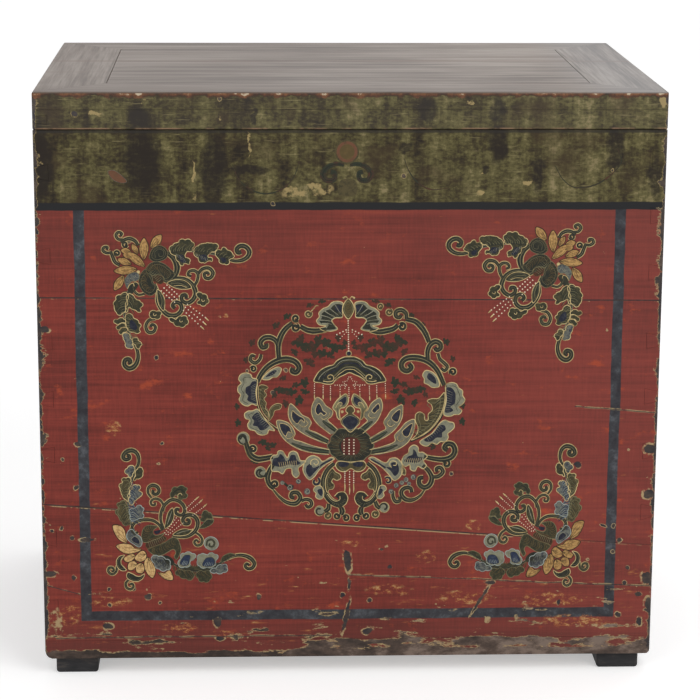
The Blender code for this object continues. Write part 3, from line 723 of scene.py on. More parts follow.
class TrunkFinish:
    """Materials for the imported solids, each drawn by where a face lies on the trunk."""

    def __init__(self) -> None:
        """Sets the paints to use."""
        self.front = FrontPaint()
        self.lacquer = Lacquer()
        self.round = 0.0035

    def faces(self, graph: Graph) -> Tuple[Socket, Socket]:
        """Finds the outer faces.

        Args:
            graph: The material to draw in.

        Returns:
            Masks of the front face, and of the sides and the back.
        """
        front = graph.step(graph.y, FRONT + self.round + 0.001, FRONT + self.round)
        side = graph.step(graph.size(graph.x), HALF_WIDTH - self.round - 0.001, HALF_WIDTH - self.round)
        back = graph.step(graph.y, REAR - self.round - 0.001, REAR - self.round)
        return front, graph.most(side, back)

    def wall(self, name: str, grain: Grain) -> bpy.types.Material:
        """Finish of the case's boards: painted front, lacquered sides and back, bare inside.

        Args:
            name: The material's name.
            grain: The way the grain runs.

        Returns:
            The material.
        """
        graph = Graph(name)
        bare, pores = BARE_WOOD.colour(graph, grain)
        paint = self.front.colour(graph)
        front, outer = self.faces(graph)
        colour = graph.blend(outer, bare, self.lacquer.colour(graph))
        colour = graph.blend(front, colour, paint)
        painted = graph.most(front, outer)
        rough = graph.step(painted, 0.2, 0.8, BARE_WOOD.rough, 0.52)
        return graph.finish(colour, rough, pores, 0.0002, gloss=0.12)

    def lid(self, name: str, grain: Grain) -> bpy.types.Material:
        """Finish of the lid's frame, panel and skirt.

        Args:
            name: The material's name.
            grain: The way the grain runs.

        Returns:
            The material.
        """
        graph = Graph(name)
        bare = BARE_WOOD.colour(graph, grain)[0]
        top, figure = WORN_TOP.colour(graph, grain)
        seam = graph.span(graph.y, (PANEL_SEAM - 0.004, PANEL_SEAM + 0.006), 0.003)
        streak = graph.noise((5.0, 60.0, 9.0), 4.0, 0.6, 4.0)
        blush = graph.times(seam, graph.step(streak, 0.35, 0.6, 0.2, 0.8))
        top = graph.blend(blush, top, (0.130, 0.060, 0.036))
        stripe = graph.noise((1.6, 70.0, 9.0), 4.0, 0.65, 9.0)
        top = graph.blend(graph.step(stripe, 0.56, 0.70, 0.0, 0.55), top, (0.150, 0.085, 0.060))
        # Painted shade on the lid's top: darker towards the left, and darker again over the front rail.
        shade = graph.add(graph.step(graph.x, -0.39, 0.25, 0.46, 0.04), graph.step(graph.y, -0.20, -0.265, 0.0, 0.40))
        top = graph.blend(shade, top, (0.088, 0.062, 0.047))
        # Painted reflection: the right of the lid's top turns light grey, as if it mirrored the white surroundings.
        top = graph.blend(graph.step(graph.x, 0.26, 0.35, 0.0, 0.40), top, (0.235, 0.235, 0.240))
        front, outer = self.faces(graph)
        outer = graph.times(outer, graph.step(graph.z, SKIRT_FOOT - 0.01, SKIRT_FOOT))
        colour = graph.blend(outer, bare, self.lacquer.colour(graph))
        colour = graph.blend(front, colour, self.front.colour(graph))
        face = graph.step(graph.z, TOP - 0.0022, TOP - 0.0010)
        arris = graph.noise((60.0, 60.0, 60.0), 4.0, 0.65, 1.1)
        rising = graph.add(arris, graph.step(graph.z, TOP - 0.0055, TOP - 0.0030, -0.07, 0.05))
        worn = graph.ramp(rising, ((0.38, (0.022, 0.014, 0.010)), (0.52, (0.074, 0.032, 0.017)),
                                   (0.64, (0.165, 0.070, 0.031)), (0.69, (0.420, 0.340, 0.240))))
        ragged = graph.add(graph.z, graph.times(graph.minus(arris, 0.5), 0.016))
        rubbed = graph.step(ragged, TOP - 0.0068, TOP - 0.0052)
        colour = graph.blend(graph.times(rubbed, graph.most(front, outer)), colour, worn)
        colour = graph.blend(face, colour, top)
        rough = graph.step(face, 0.2, 0.8, 0.52, WORN_TOP.rough)
        return graph.finish(colour, rough, figure, 0.0002, gloss=0.22)

    def foot(self) -> bpy.types.Material:
        """Black paint of the feet, with brown streaks in the brushing."""
        graph = Graph("foot_black_paint")
        brush = graph.noise((40.0, 40.0, 160.0), 4.0, 0.6)
        colour = graph.ramp(brush, ((0.36, (0.012, 0.012, 0.013)), (0.55, (0.024, 0.023, 0.024)),
                                    (0.72, (0.060, 0.050, 0.044))))
        return graph.finish(colour, 0.60, brush, 0.0004, gloss=0.25)

    def iron(self) -> bpy.types.Material:
        """Dark forged iron with a little rust."""
        graph = Graph("hinge_dark_iron")
        scale = graph.noise((140.0, 140.0, 140.0), 5.0, 0.65)
        colour = graph.ramp(scale, ((0.36, (0.050, 0.048, 0.047)), (0.56, (0.105, 0.098, 0.092)),
                                    (0.70, (0.160, 0.085, 0.045))))
        rough = graph.step(scale, 0.35, 0.70, 0.42, 0.75)
        return graph.finish(colour, rough, scale, 0.0004, metal=0.75)

    def dress(self) -> None:
        """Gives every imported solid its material."""
        boards_across = self.wall("case_boards_across", Grain.ACROSS)
        boards_deep = self.wall("case_boards_deep", Grain.DEEP)
        frame_across = self.lid("lid_boards_across", Grain.ACROSS)
        frame_deep = self.lid("lid_boards_deep", Grain.DEEP)
        foot = self.foot()
        iron = self.iron()
        for name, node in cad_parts.items():
            if name.startswith("hinge"):
                material = iron
            elif name.startswith("foot"):
                material = foot
            elif name.startswith(("left_board", "right_board")):
                material = boards_deep
            elif name.startswith(("front_board", "rear_board", "bottom_board")):
                material = boards_across
            elif name.endswith(("stile", "skirt_left", "skirt_right")) or "batten" in name:
                material = frame_deep
            else:
                material = frame_across
            node.data.materials.clear()
            node.data.materials.append(material)
            LOG.info("%s wears %s", name, material.name)


@dataclass(frozen=True)
class Gesso:
    """A raised ornament colour: its paint, its worn paint and its sheen."""

    paint: Colour
    worn: Colour
    rough: float = 0.5
    cover: float = 0.58
    grain: float = 110.0

    def material(self, name: str) -> bpy.types.Material:
        """Makes the material.

        Args:
            name: The material's name.

        Returns:
            The material.
        """
        graph = Graph(name)
        wear = graph.noise((self.grain, self.grain, self.grain), 4.0, 0.65)
        colour = graph.blend(graph.step(wear, self.cover - 0.16, self.cover + 0.16), self.paint, self.worn)
        return graph.finish(colour, self.rough, wear, 0.0002, gloss=0.12)


class Paint(Enum):
    """Ornament colours, with how far each stands off the board in millimetres."""

    SMOKE = ("smoke", 0.06, Gesso((0.022, 0.027, 0.017), (0.062, 0.024, 0.017), 0.6, 0.56, 60.0))
    UNDER = ("cream_edge", 0.16, Gesso((0.40, 0.305, 0.140), (0.150, 0.100, 0.042)))
    MOSS = ("moss_leaf", 0.20, Gesso((0.070, 0.056, 0.026), (0.032, 0.028, 0.015), grain=220.0))
    LEAF = ("green_leaf", 0.21, Gesso((0.026, 0.027, 0.016), (0.066, 0.056, 0.028), cover=0.56, grain=300.0))
    SLATE = ("slate_leaf", 0.23, Gesso((0.125, 0.128, 0.106), (0.030, 0.034, 0.046), cover=0.52, grain=300.0))
    PALE = ("pale_leaf", 0.24, Gesso((0.200, 0.195, 0.135), (0.105, 0.104, 0.076), grain=160.0))
    ASH = ("ash_petal", 0.25, Gesso((0.150, 0.138, 0.096), (0.078, 0.074, 0.052), grain=200.0))
    UMBER = ("umber_edge", 0.27, Gesso((0.034, 0.020, 0.012), (0.070, 0.028, 0.017)))
    GOLD = ("gold_petal", 0.30, Gesso((0.400, 0.238, 0.086), (0.135, 0.070, 0.028), cover=0.54, grain=240.0))
    STRAW = ("straw_petal", 0.31, Gesso((0.535, 0.350, 0.150), (0.210, 0.108, 0.042), cover=0.57, grain=240.0))
    DARK = ("dark_stem", 0.32, Gesso((0.017, 0.018, 0.014), (0.036, 0.035, 0.022)))
    BRONZE = ("bronze_boss", 0.34, Gesso((0.120, 0.054, 0.030), (0.074, 0.045, 0.024)))
    FERN = ("fern_band", 0.35, Gesso((0.046, 0.058, 0.036), (0.024, 0.028, 0.018), grain=180.0))
    SAGE = ("sage_stroke", 0.36, Gesso((0.165, 0.148, 0.078), (0.075, 0.068, 0.035)))
    STROKE = ("brown_stroke", 0.37, Gesso((0.078, 0.054, 0.022), (0.130, 0.084, 0.032)))
    NAVY = ("navy_core", 0.38, Gesso((0.013, 0.014, 0.023), (0.036, 0.038, 0.046), grain=200.0))
    BLUE = ("blue_core", 0.39, Gesso((0.017, 0.025, 0.050), (0.046, 0.058, 0.080), grain=200.0))
    RED = ("red_window", 0.40, Gesso((0.085, 0.020, 0.015), (0.050, 0.018, 0.013)))
    MIST = ("mist_stroke", 0.44, Gesso((0.250, 0.240, 0.172), (0.110, 0.106, 0.078)))
    FOAM = ("foam_line", 0.47, Gesso((0.285, 0.318, 0.285), (0.125, 0.138, 0.128)))
    LINE = ("cream_line", 0.50, Gesso((0.52, 0.405, 0.195), (0.215, 0.150, 0.064)))
    BEAD = ("pearl", 0.75, Gesso((0.66, 0.56, 0.42), (0.48, 0.38, 0.24)))

    @property
    def label(self) -> str:
        """Name used for pieces and materials."""
        return self.value[0]

    @property
    def lift(self) -> float:
        """How far it stands off the board, in metres."""
        return self.value[1] / 1000.0

    @property
    def gesso(self) -> Gesso:
        """Its finish."""
        return self.value[2]


def smooth(points: Sequence[Point], closed: bool = False, step: float = 0.9) -> List[Point]:
    """Draws a round curve through given points.

    Args:
        points: The points.
        closed: Whether the curve returns to its start.
        step: Rough distance between samples.

    Returns:
        Samples along the curve.
    """
    knots = [Vector(point) for point in points]
    if closed:
        ring = [knots[-1], *knots, knots[0], knots[1]]
    else:
        ring = [2 * knots[0] - knots[1], *knots, 2 * knots[-1] - knots[-2]]
    line: List[Point] = []
    for before, start, end, after in zip(ring, ring[1:], ring[2:], ring[3:]):
        first = max((start - before).length, 1e-6) ** 0.5
        second = first + max((end - start).length, 1e-6) ** 0.5
        third = second + max((after - end).length, 1e-6) ** 0.5
        count = max(2, round((end - start).length / step))
        for index in range(count):
            t = first + (second - first) * index / count
            one = before.lerp(start, t / first)
            two = start.lerp(end, (t - first) / (second - first))
            three = end.lerp(after, (t - second) / (third - second))
            left = one.lerp(two, t / second)
            right = two.lerp(three, (t - first) / (third - first))
            spot = left.lerp(right, (t - first) / (second - first))
            line.append((spot.x, spot.y))
    if not closed:
        line.append((knots[-1].x, knots[-1].y))
    return line


def ring(centre: Point, radius: float, count: int = 20) -> List[Point]:
    """Points round a circle.

    Args:
        centre: The circle's middle.
        radius: Its radius.
        count: How many points.

    Returns:
        The points.
    """
    turn = 2 * math.pi / count
    return [(centre[0] + radius * math.cos(turn * i), centre[1] + radius * math.sin(turn * i)) for i in range(count)]


def shrink(outline: Sequence[Point], share: float) -> List[Point]:
    """The same outline, drawn in or out about its middle.

    Args:
        outline: Points round a shape.
        share: Its new size as a share of the old.

    Returns:
        The new points.
    """
    middle = sum((Vector(point) for point in outline), Vector((0.0, 0.0))) / len(outline)
    return [tuple(middle.lerp(Vector(point), share)) for point in outline]


def scalloped(outline: Sequence[Point], wave: float = 7.6, depth: float = 1.35) -> List[Point]:
    """Sets small round lobes along the outside of a leaf.

    Args:
        outline: Points round the leaf.
        wave: Rough width of a lobe.
        depth: How far the lobes stand out of the notches.

    Returns:
        Close points round the lobed leaf.
    """
    samples = [Vector(point) for point in smooth(outline, True, 0.6)]
    pairs = list(zip(samples, [*samples[1:], samples[0]]))
    way = math.copysign(1.0, sum(here.x * there.y - there.x * here.y for here, there in pairs))
    length = sum((there - here).length for here, there in pairs)
    lobes = max(3, round(length / wave))
    lobed: List[Point] = []
    run = 0.0
    for index, (here, there) in enumerate(pairs):
        along = (there - samples[index - 1]).normalized()
        swell = depth * (abs(math.sin(math.pi * lobes * run / length)) ** 0.8 - 0.5)
        lobed.append((here.x + way * along.y * swell, here.y - way * along.x * swell))
        run += (there - here).length
    return lobed


class Relief:
    """Raised strokes, plates and beads of one colour, gathered into one mesh."""

    sink = 0.0002
    layer = 2e-7
    section = ((-1.0, None), (-0.78, 0.80), (0.0, 1.0), (0.78, 0.80), (1.0, None))

    def __init__(self, lift: float) -> None:
        """Starts an empty relief.

        Args:
            lift: Height off the board.
        """
        self.lift = lift
        self.plates = 0
        self.points: List[Vector] = []
        self.faces: List[Tuple[int, ...]] = []

    def spot(self, point: Point, share: Optional[float]) -> Vector:
        """A sheet point at a share of the height, or just inside the board for None."""
        off = -self.sink if share is None else self.lift * share
        return Vector((SHEET.x(point[0]), FRONT - off, SHEET.z(point[1])))

    def stroke(self, line: Sequence[Point], widths: Sequence[float], closed: bool = False) -> None:
        """Adds a rounded stroke.

        Args:
            line: Samples along its middle.
            widths: Its width at each sample.
            closed: Whether it returns to its start.
        """
        start = len(self.points)
        count = len(line)
        across = len(self.section)
        for index, point in enumerate(line):
            ahead = line[(index + 1) % count] if closed else line[min(index + 1, count - 1)]
            behind = line[index - 1] if closed else line[max(index - 1, 0)]
            along = Vector((ahead[0] - behind[0], ahead[1] - behind[1])).normalized()
            half = widths[index] / 2
            for side, share in self.section:
                place = (point[0] - along.y * half * side, point[1] + along.x * half * side)
                self.points.append(self.spot(place, share))
        for index in range(count if closed else count - 1):
            here = start + index * across
            there = start + (index + 1) % count * across
            for side in range(across):
                other = (side + 1) % across
                self.faces.append((here + side, here + other, there + other, there + side))
        if not closed:
            self.faces.append(tuple(start + side for side in range(across)))
            self.faces.append(tuple(start + (count - 1) * across + side for side in range(across)))

    def plate(self, outline: Sequence[Point]) -> None:
        """Adds a flat plate.

        Args:
            outline: Its outline.
        """
        start = len(self.points)
        count = len(outline)
        share = 1.0 + self.layer / self.lift * self.plates
        self.plates += 1
        self.points.extend(self.spot(point, share) for point in outline)
        self.points.extend(self.spot(point, None) for point in outline)
        flat = [Vector((point[0], point[1], 0.0)) for point in outline]
        for triangle in tessellate_polygon([flat]):
            self.faces.append(tuple(start + corner for corner in triangle))
            self.faces.append(tuple(start + count + corner for corner in reversed(triangle)))
        for index in range(count):
            after = (index + 1) % count
            self.faces.append((start + index, start + after, start + count + after, start + count + index))

    def dome(self, centre: Point, radius: float) -> None:
        """Adds a small bead.

        Args:
            centre: Its middle.
            radius: Its radius.
        """
        around = 8
        start = len(self.points)
        for share, size in ((None, 1.0), (0.62, 0.82)):
            self.points.extend(self.spot(point, share) for point in ring(centre, radius * size, around))
        self.points.append(self.spot(centre, 1.0))
        for index in range(around):
            after = (index + 1) % around
            self.faces.append((start + index, start + after, start + around + after, start + around + index))
            self.faces.append((start + around + index, start + around + after, start + 2 * around))
        self.faces.append(tuple(start + index for index in reversed(range(around))))

    def piece(self, name: str) -> bpy.types.Object:
        """Makes the mesh object.

        Args:
            name: The piece's name.

        Returns:
            The object, shaded smooth but for its edges.
        """
        mesh = bpy.data.meshes.new(name)
        mesh.from_pydata([tuple(point) for point in self.points], [], self.faces)
        mesh.validate()
        made = bpy.data.objects.new(name, mesh)
        bpy.context.scene.collection.objects.link(made)
        select_only(made)
        bpy.ops.object.mode_set(mode="EDIT")
        bpy.ops.mesh.select_all(action="SELECT")
        bpy.ops.mesh.normals_make_consistent(inside=False)
        bpy.ops.object.mode_set(mode="OBJECT")
        bpy.ops.object.shade_smooth_by_angle(angle=math.radians(50.0))
        return made


def select_only(piece: bpy.types.Object) -> None:
    """Selects one object and makes it active."""
    bpy.ops.object.select_all(action="DESELECT")
    piece.select_set(True)
    bpy.context.view_layer.objects.active = piece


Place = Callable[[Point], Point]


class Drawing:
    """A motif drawn in raised gesso, laid on the front once for each of its places."""

    edge = 0.8

    def __init__(self, name: str, body: Body, places: Sequence[Place], weight: float = 1.55) -> None:
        """Starts an empty drawing.

        Args:
            name: The motif's name.
            body: The body that it rides on.
            places: Where each drawn shape is laid.
            weight: How full its stems are.
        """
        self.weight = weight
        self.name = name
        self.body = body
        self.places = places
        self.reliefs: Dict[Paint, Relief] = {}

    def relief(self, paint: Paint) -> Relief:
        """The relief of one colour."""
        return self.reliefs.setdefault(paint, Relief(paint.lift))

    def line(self, paint: Paint, points: Sequence[Point], width: float,
             taper: Sequence[float] = (1.0, 1.0, 1.0), closed: bool = False) -> None:
        """Draws one stroke.

        Args:
            paint: Its colour.
            points: Points along it.
            width: Its full width in sheet units.
            taper: Share of the width at the start, the middle and the end.
            closed: Whether it returns to its start.
        """
        samples = smooth(points, closed)
        last = max(len(samples) - 1, 1)
        widths = []
        for index in range(len(samples)):
            share = 2.0 * index / last
            part = int(min(share, 1.999))
            size = taper[part] + (taper[part + 1] - taper[part]) * (share - part)
            widths.append(max(width * size, 0.25))
        for place in self.places:
            self.relief(paint).stroke([place(point) for point in samples], widths, closed)

    def fill(self, paint: Paint, outline: Sequence[Point], rounded: bool = True) -> None:
        """Draws one filled shape.

        Args:
            paint: Its colour.
            outline: Points round it.
            rounded: Whether to run a smooth curve through them.
        """
        samples = smooth(outline, True) if rounded else list(outline)
        for place in self.places:
            self.relief(paint).plate([place(point) for point in samples])

    def stem(self, points: Sequence[Point], width: float = 3.0,
             taper: Sequence[float] = (0.8, 1.0, 0.8)) -> None:
        """Draws a dark stem with cream edges and a soft light along it.

        Args:
            points: Points along it.
            width: Width of the dark part.
            taper: Share of the width at the start, the middle and the end.
        """
        width *= self.weight
        wide = width + 2 * self.edge
        spread = [(width * share + 2 * self.edge) / wide for share in taper]
        self.line(Paint.UNDER, points, wide, spread)
        self.line(Paint.DARK, points, width, taper)
        if width > 2.6:
            self.line(Paint.SAGE, points, width * 0.22, (0.3, 1.0, 0.2))

    def bulb(self, centre: Point, radius: float, core: Paint = Paint.DARK, dot: bool = True) -> None:
        """Draws the round head of a curl.

        Args:
            centre: Its middle.
            radius: Its radius with the cream edge.
            core: Colour inside the edge.
            dot: Whether it has a pearl in its middle.
        """
        self.fill(Paint.UNDER, ring(centre, radius), False)
        self.fill(core, ring(centre, radius - self.edge * 1.1), False)
        if dot:
            for place in self.places:
                self.relief(Paint.BEAD).dome(place(centre), radius * 0.24)

    def leaf(self, outline: Sequence[Point], body: Paint = Paint.PALE, core: Sequence[Point] = (),
             heart: Paint = Paint.NAVY, rim: float = 1.0, edge: Paint = Paint.LINE, lobed: bool = False) -> None:
        """Draws a leaf or a petal with a cream rim.

        Args:
            outline: Points round it.
            body: Its colour.
            core: Points round its core, if it has one.
            heart: The core's colour.
            rim: Width of the rim.
            edge: The rim's colour.
            lobed: Whether small lobes run round it.
        """
        border = scalloped(outline) if lobed else outline
        self.fill(body, border)
        self.line(edge, border, rim, closed=True)
        if core:
            self.fill(heart, core)
            self.line(Paint.MIST, core, 0.5, closed=True)
        elif body in (Paint.MOSS, Paint.DARK):
            self.line(Paint.SAGE, shrink(outline, 0.74), 0.6, closed=True)

    def curl(self, centre: Point, radius: float, start: float, turns: float = 1.2,
             core: Paint = Paint.DARK) -> None:
        """Draws the coiled head of a stem.

        Args:
            centre: Its middle.
            radius: Its radius with the cream edge.
            start: Where the coil starts, in degrees.
            turns: Turns of the coil.
            core: Colour of the coil, or of the disc behind it where that is pale.
        """
        if core is Paint.PALE:
            self.fill(Paint.UNDER, ring(centre, radius), False)
            self.fill(core, ring(centre, radius - self.edge), False)
            self.line(Paint.DARK, self.coil(centre, radius * 0.90, start, turns), radius * 0.42, (0.5, 1.0, 1.0))
            return
        full = radius * 1.25
        thick = full * 0.50
        widest = full - self.edge - thick / 2
        path = self.coil(centre, widest, start, turns)
        self.line(Paint.UNDER, path, thick + 2 * self.edge, (0.8, 1.0, 0.9))
        self.line(core, path, thick, (0.7, 1.0, 1.1))
        self.line(Paint.LINE, self.coil(centre, widest * 0.42, start + 90.0, 0.6), 0.6, (0.8, 1.0, 0.8))

    @staticmethod
    def coil(centre: Point, radius: float, start: float, turns: float) -> List[Point]:
        """Points along a spiral that winds inwards.

        Args:
            centre: Its middle.
            radius: Its radius at the start.
            start: Where it starts, in degrees.
            turns: How many turns.

        Returns:
            The points.
        """
        points: List[Point] = []
        for index in range(15):
            share = index / 14
            angle = math.radians(start + 360.0 * turns * share)
            reach = radius * (1.0 - 0.64 * share)
            points.append((centre[0] + reach * math.cos(angle), centre[1] + reach * math.sin(angle)))
        return points

    def veins(self, paint: Paint, rib: Sequence[Point], reach: float, count: int, width: float = 0.6,
              lean: float = 0.7) -> None:
        """Draws short strokes that leave one side of a rib.

        Args:
            paint: Their colour.
            rib: Points along the rib.
            reach: Their length, below nothing for the other side.
            count: How many.
            width: Their width.
            lean: How far they lean along the rib, as a share of their length.
        """
        samples = smooth(rib)
        for index in range(count):
            at = min(int((index + 0.5) / count * (len(samples) - 1)), len(samples) - 2)
            root = Vector(samples[at])
            along = (Vector(samples[at + 1]) - root).normalized()
            side = Vector((-along.y, along.x)) * reach
            swell = 0.72 + 0.28 * math.sin(2.4 * index)
            tip = root + (side + along * abs(reach) * lean) * swell
            bend = root + (side * 0.6 + along * abs(reach) * lean * 0.3) * swell
            self.line(paint, [tuple(root), tuple(bend), tuple(tip)], width, (1.0, 0.9, 0.5))

    def petal(self, outline: Sequence[Point], core: Sequence[Point], band: Sequence[Point],
              base: Sequence[Point]) -> None:
        """Draws a lotus petal of the medallion.

        Args:
            outline: Points round it, its long base included.
            core: Points round its dark core.
            band: Points along the dark band inside its lower edge.
            base: Points along its base.
        """
        self.fill(Paint.ASH, outline)
        inwards = Vector(base[-1]) - Vector(base[0])
        foot = sorted(range(len(outline)), key=lambda index: inwards.dot(Vector(outline[index])))[-2:]
        split = min(foot) + 1
        self.line(Paint.LINE, [*outline[split:], *outline[:split]], 0.85)
        self.fill(Paint.NAVY, core)
        self.line(Paint.LINE, core, 0.7, closed=True)
        self.line(Paint.DARK, band, 1.6, (0.5, 1.0, 0.6))
        self.line(Paint.LINE, band, 0.7, (0.6, 1.2, 0.6))
        self.line(Paint.DARK, base, 5.4, (0.4, 1.0, 1.0))
        self.line(Paint.FERN, base, 2.6, (0.4, 1.0, 0.9))
        self.line(Paint.SAGE, base, 0.6, (0.4, 1.0, 0.6))

    def sprig(self, centre: Point, size: float, angle: float) -> None:
        """Draws a small soft scroll of dark foliage.

        Args:
            centre: Its middle.
            size: Its size.
            angle: Where its tail leaves, in degrees.
        """
        for way, reach in ((0.0, 0.90), (70.0, 0.52), (150.0, 0.72), (228.0, 0.48), (300.0, 0.58)):
            turn = math.radians(angle + way)
            along = Vector((math.cos(turn), 0.82 * math.sin(turn))) * size * reach
            bend = Vector(centre) + along * 0.55 + Vector((-along.y, along.x)) * 0.20
            tip = Vector(centre) + along
            self.line(Paint.SMOKE, [centre, tuple(bend), tuple(tip)], size * 0.54, (0.8, 1.0, 0.85))

    def hatch(self, paint: Paint, start: Tuple[Point, Point], end: Tuple[Point, Point], count: int,
              width: float = 0.7) -> None:
        """Draws a row of short strokes between two lines.

        Args:
            paint: Their colour.
            start: Ends of the first stroke.
            end: Ends of the last stroke.
            count: How many strokes.
            width: Their width.
        """
        for index in range(count):
            share = index / max(count - 1, 1)
            tail = Vector(start[0]).lerp(Vector(end[0]), share)
            head = Vector(start[1]).lerp(Vector(end[1]), share)
            self.line(paint, [tuple(tail), tuple(tail.lerp(head, 0.5)), tuple(head)], width, (1.0, 0.9, 0.4))

    def beads(self, start: Point, end: Point, count: int, radius: float = 0.62) -> None:
        """Draws a row of pearls.

        Args:
            start: Middle of the first.
            end: Middle of the last.
            count: How many.
            radius: Their radius.
        """
        for index in range(count):
            spot = Vector(start).lerp(Vector(end), index / max(count - 1, 1))
            for place in self.places:
                self.relief(Paint.BEAD).dome(place((spot.x, spot.y)), radius)

    def build(self, finishes: Dict[Paint, bpy.types.Material]) -> None:
        """Makes one piece for each colour.

        Args:
            finishes: Material of each colour.
        """
        for paint, relief in self.reliefs.items():
            piece = relief.piece(f"{self.name}_{paint.label}")
            piece.data.materials.append(finishes[paint])
            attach(piece, self.body.value)
            LOG.info("%s has %d faces", piece.name, len(piece.data.polygons))


@dataclass(frozen=True)
class Medallion:
    """The round lotus medallion in the middle of the red field, drawn by hand and so not quite symmetric."""

    axis_head: float = 347.6
    axis_head_row: float = 300.0
    axis_lean: float = 0.0175
    weight: float = 1.9

    def axis(self, row: float) -> float:
        """Column of the centre line, which leans a little as the painter's did."""
        return self.axis_head + self.axis_lean * (row - self.axis_head_row)

    def mirror(self, point: Point) -> Point:
        """The same point on the right half."""
        return 2 * self.axis(point[1]) - point[0], point[1]

    def whole(self, half: Sequence[Point]) -> List[Point]:
        """Closes a left half outline with its mirror image.

        Args:
            half: Points from the centre line round the left to the centre line.

        Returns:
            Points round the whole.
        """
        inner = [point for point in half if abs(point[0] - self.axis(point[1])) > 1.0]
        return [*half, *[self.mirror(point) for point in reversed(inner)]]

    def build(self, finishes: Dict[Paint, bpy.types.Material]) -> None:
        """Draws and makes it.

        Args:
            finishes: Material of each colour.
        """
        pair = Drawing("medallion_pair", Body.CASE, (lambda point: point, self.mirror), self.weight)
        single = Drawing("medallion_single", Body.CASE, (lambda point: point,), self.weight)
        self.smoke(pair)
        self.crown(pair, single)
        self.left_scrolls(single)
        self.right_scrolls(single)
        self.left_leaves(single)
        self.right_leaves(single)
        self.canopy(pair, single)
        self.left_petals(single)
        self.right_petals(single)
        self.heart(single, pair)
        self.lower_pair(pair)
        self.lower_left(single)
        self.lower_right(single)
        pair.build(finishes)
        single.build(finishes)

    def smoke(self, art: Drawing) -> None:
        """Soft dark foliage behind the scrolls."""
        sprigs = (
            ((297, 341), 10.0, 10), ((311, 345), 11.0, 170), ((324, 341), 10.0, 20), ((320, 352), 9.0, 150),
            ((308, 360), 8.0, 40), ((334, 347), 8.0, 110), ((337, 336), 6.0, 80), ((293, 350), 6.0, 60),
            ((278, 388), 8.0, 20), ((289, 390), 9.0, 190), ((298, 398), 8.0, 110), ((303, 381), 8.0, 280),
            ((284, 401), 6.0, 80), ((261, 440), 7.0, 10), ((271, 443), 6.0, 170), ((252, 459), 5.0, 20),
            ((308, 304), 5.0, 340), ((320, 300), 5.0, 350), ((285, 315), 6.0, 320), ((274, 324), 6.0, 310),
            ((250, 341), 6.0, 300), ((244, 358), 5.0, 285), ((235, 404), 5.0, 90), ((236, 420), 6.0, 100),
            ((344, 341), 5.0, 90), ((282, 376), 5.0, 150), ((303, 347), 7.0, 250), ((316, 338), 7.0, 300),
            ((328, 353), 7.0, 30), ((300, 336), 6.0, 130), ((341, 346), 6.0, 200), ((313, 352), 6.0, 80),
            ((294, 383), 6.0, 340), ((273, 393), 5.0, 120), ((304, 390), 6.0, 200), ((266, 446), 5.0, 250),
        )
        for centre, size, angle in sprigs:
            art.sprig(centre, size, angle)

    def crown(self, art: Drawing, middle: Drawing) -> None:
        """The bud at the head, its fan wings and its string of pearls."""
        art.leaf([(341.6, 302), (336.3, 300.1), (330.6, 301.3), (326.5, 305.3), (321.6, 307.4), (317.4, 311.6),
                  (317.8, 315.6), (315.1, 319.2), (317.6, 323.2), (324.6, 324.6), (318.6, 327), (325, 330),
                  (336.3, 327.6), (333, 323.2), (330.6, 319.2), (333.8, 316.7), (341, 316), (341, 309)],
                 Paint.PALE, rim=0.9)
        art.fill(Paint.DARK, [(341.2, 304.4), (336.4, 302.8), (332, 304.2), (328.8, 307.6), (324, 309.6), (320.2, 312.8),
                              (320.4, 316.4), (318, 319.4), (320, 322), (327, 322.8), (325.4, 326.6), (322, 328.2),
                              (334.6, 327), (332, 323.2), (329.6, 319), (333, 315.8), (341, 314.8)])
        art.fill(Paint.NAVY, [(341, 305.4), (337, 304), (333.6, 305.4), (335, 309.6), (341, 310.6)])
        fingers = (((340.8, 313.6), (337.4, 309.6), (334, 304)), ((337, 314.2), (332.6, 310.6), (328.6, 307.4)),
                   ((333.4, 315.4), (328, 312.8), (323.4, 309.8)), ((331, 317.6), (325.4, 315.4), (320, 314)),
                   ((329.8, 320), (324.4, 319), (318.4, 318.6)), ((330.4, 323), (325.6, 322), (320.6, 322)))
        for finger in fingers:
            art.line(Paint.MIST, finger, 0.8, (0.5, 0.9, 1.5))
        art.veins(Paint.SAGE, [(340, 313.6), (332, 316), (328.4, 320), (327, 326)], 4.0, 10, 0.6)
        middle.leaf([(347, 297.8), (343.2, 301.6), (341.2, 307), (342.8, 313), (347, 317.8),
                     (351.2, 313), (353, 307), (351, 301.6)], Paint.MOSS)
        middle.veins(Paint.STROKE, [(347, 316.4), (347, 308), (347, 300)], 3.6, 8, 0.6)
        middle.veins(Paint.STROKE, [(347, 316.4), (347, 308), (347, 300)], -3.6, 8, 0.6)
        art.line(Paint.LINE, [(346.6, 298), (344.6, 295.6), (341.6, 297.2)], 1.3, (0.6, 0.9, 1.6))
        middle.beads((347, 319.6), (347.6, 349.4), 14, 0.8)
        art.beads((344.9, 328.6), (335.6, 333.2), 4, 0.8)
        art.beads((345.2, 330.8), (339.0, 337.0), 4, 0.55)

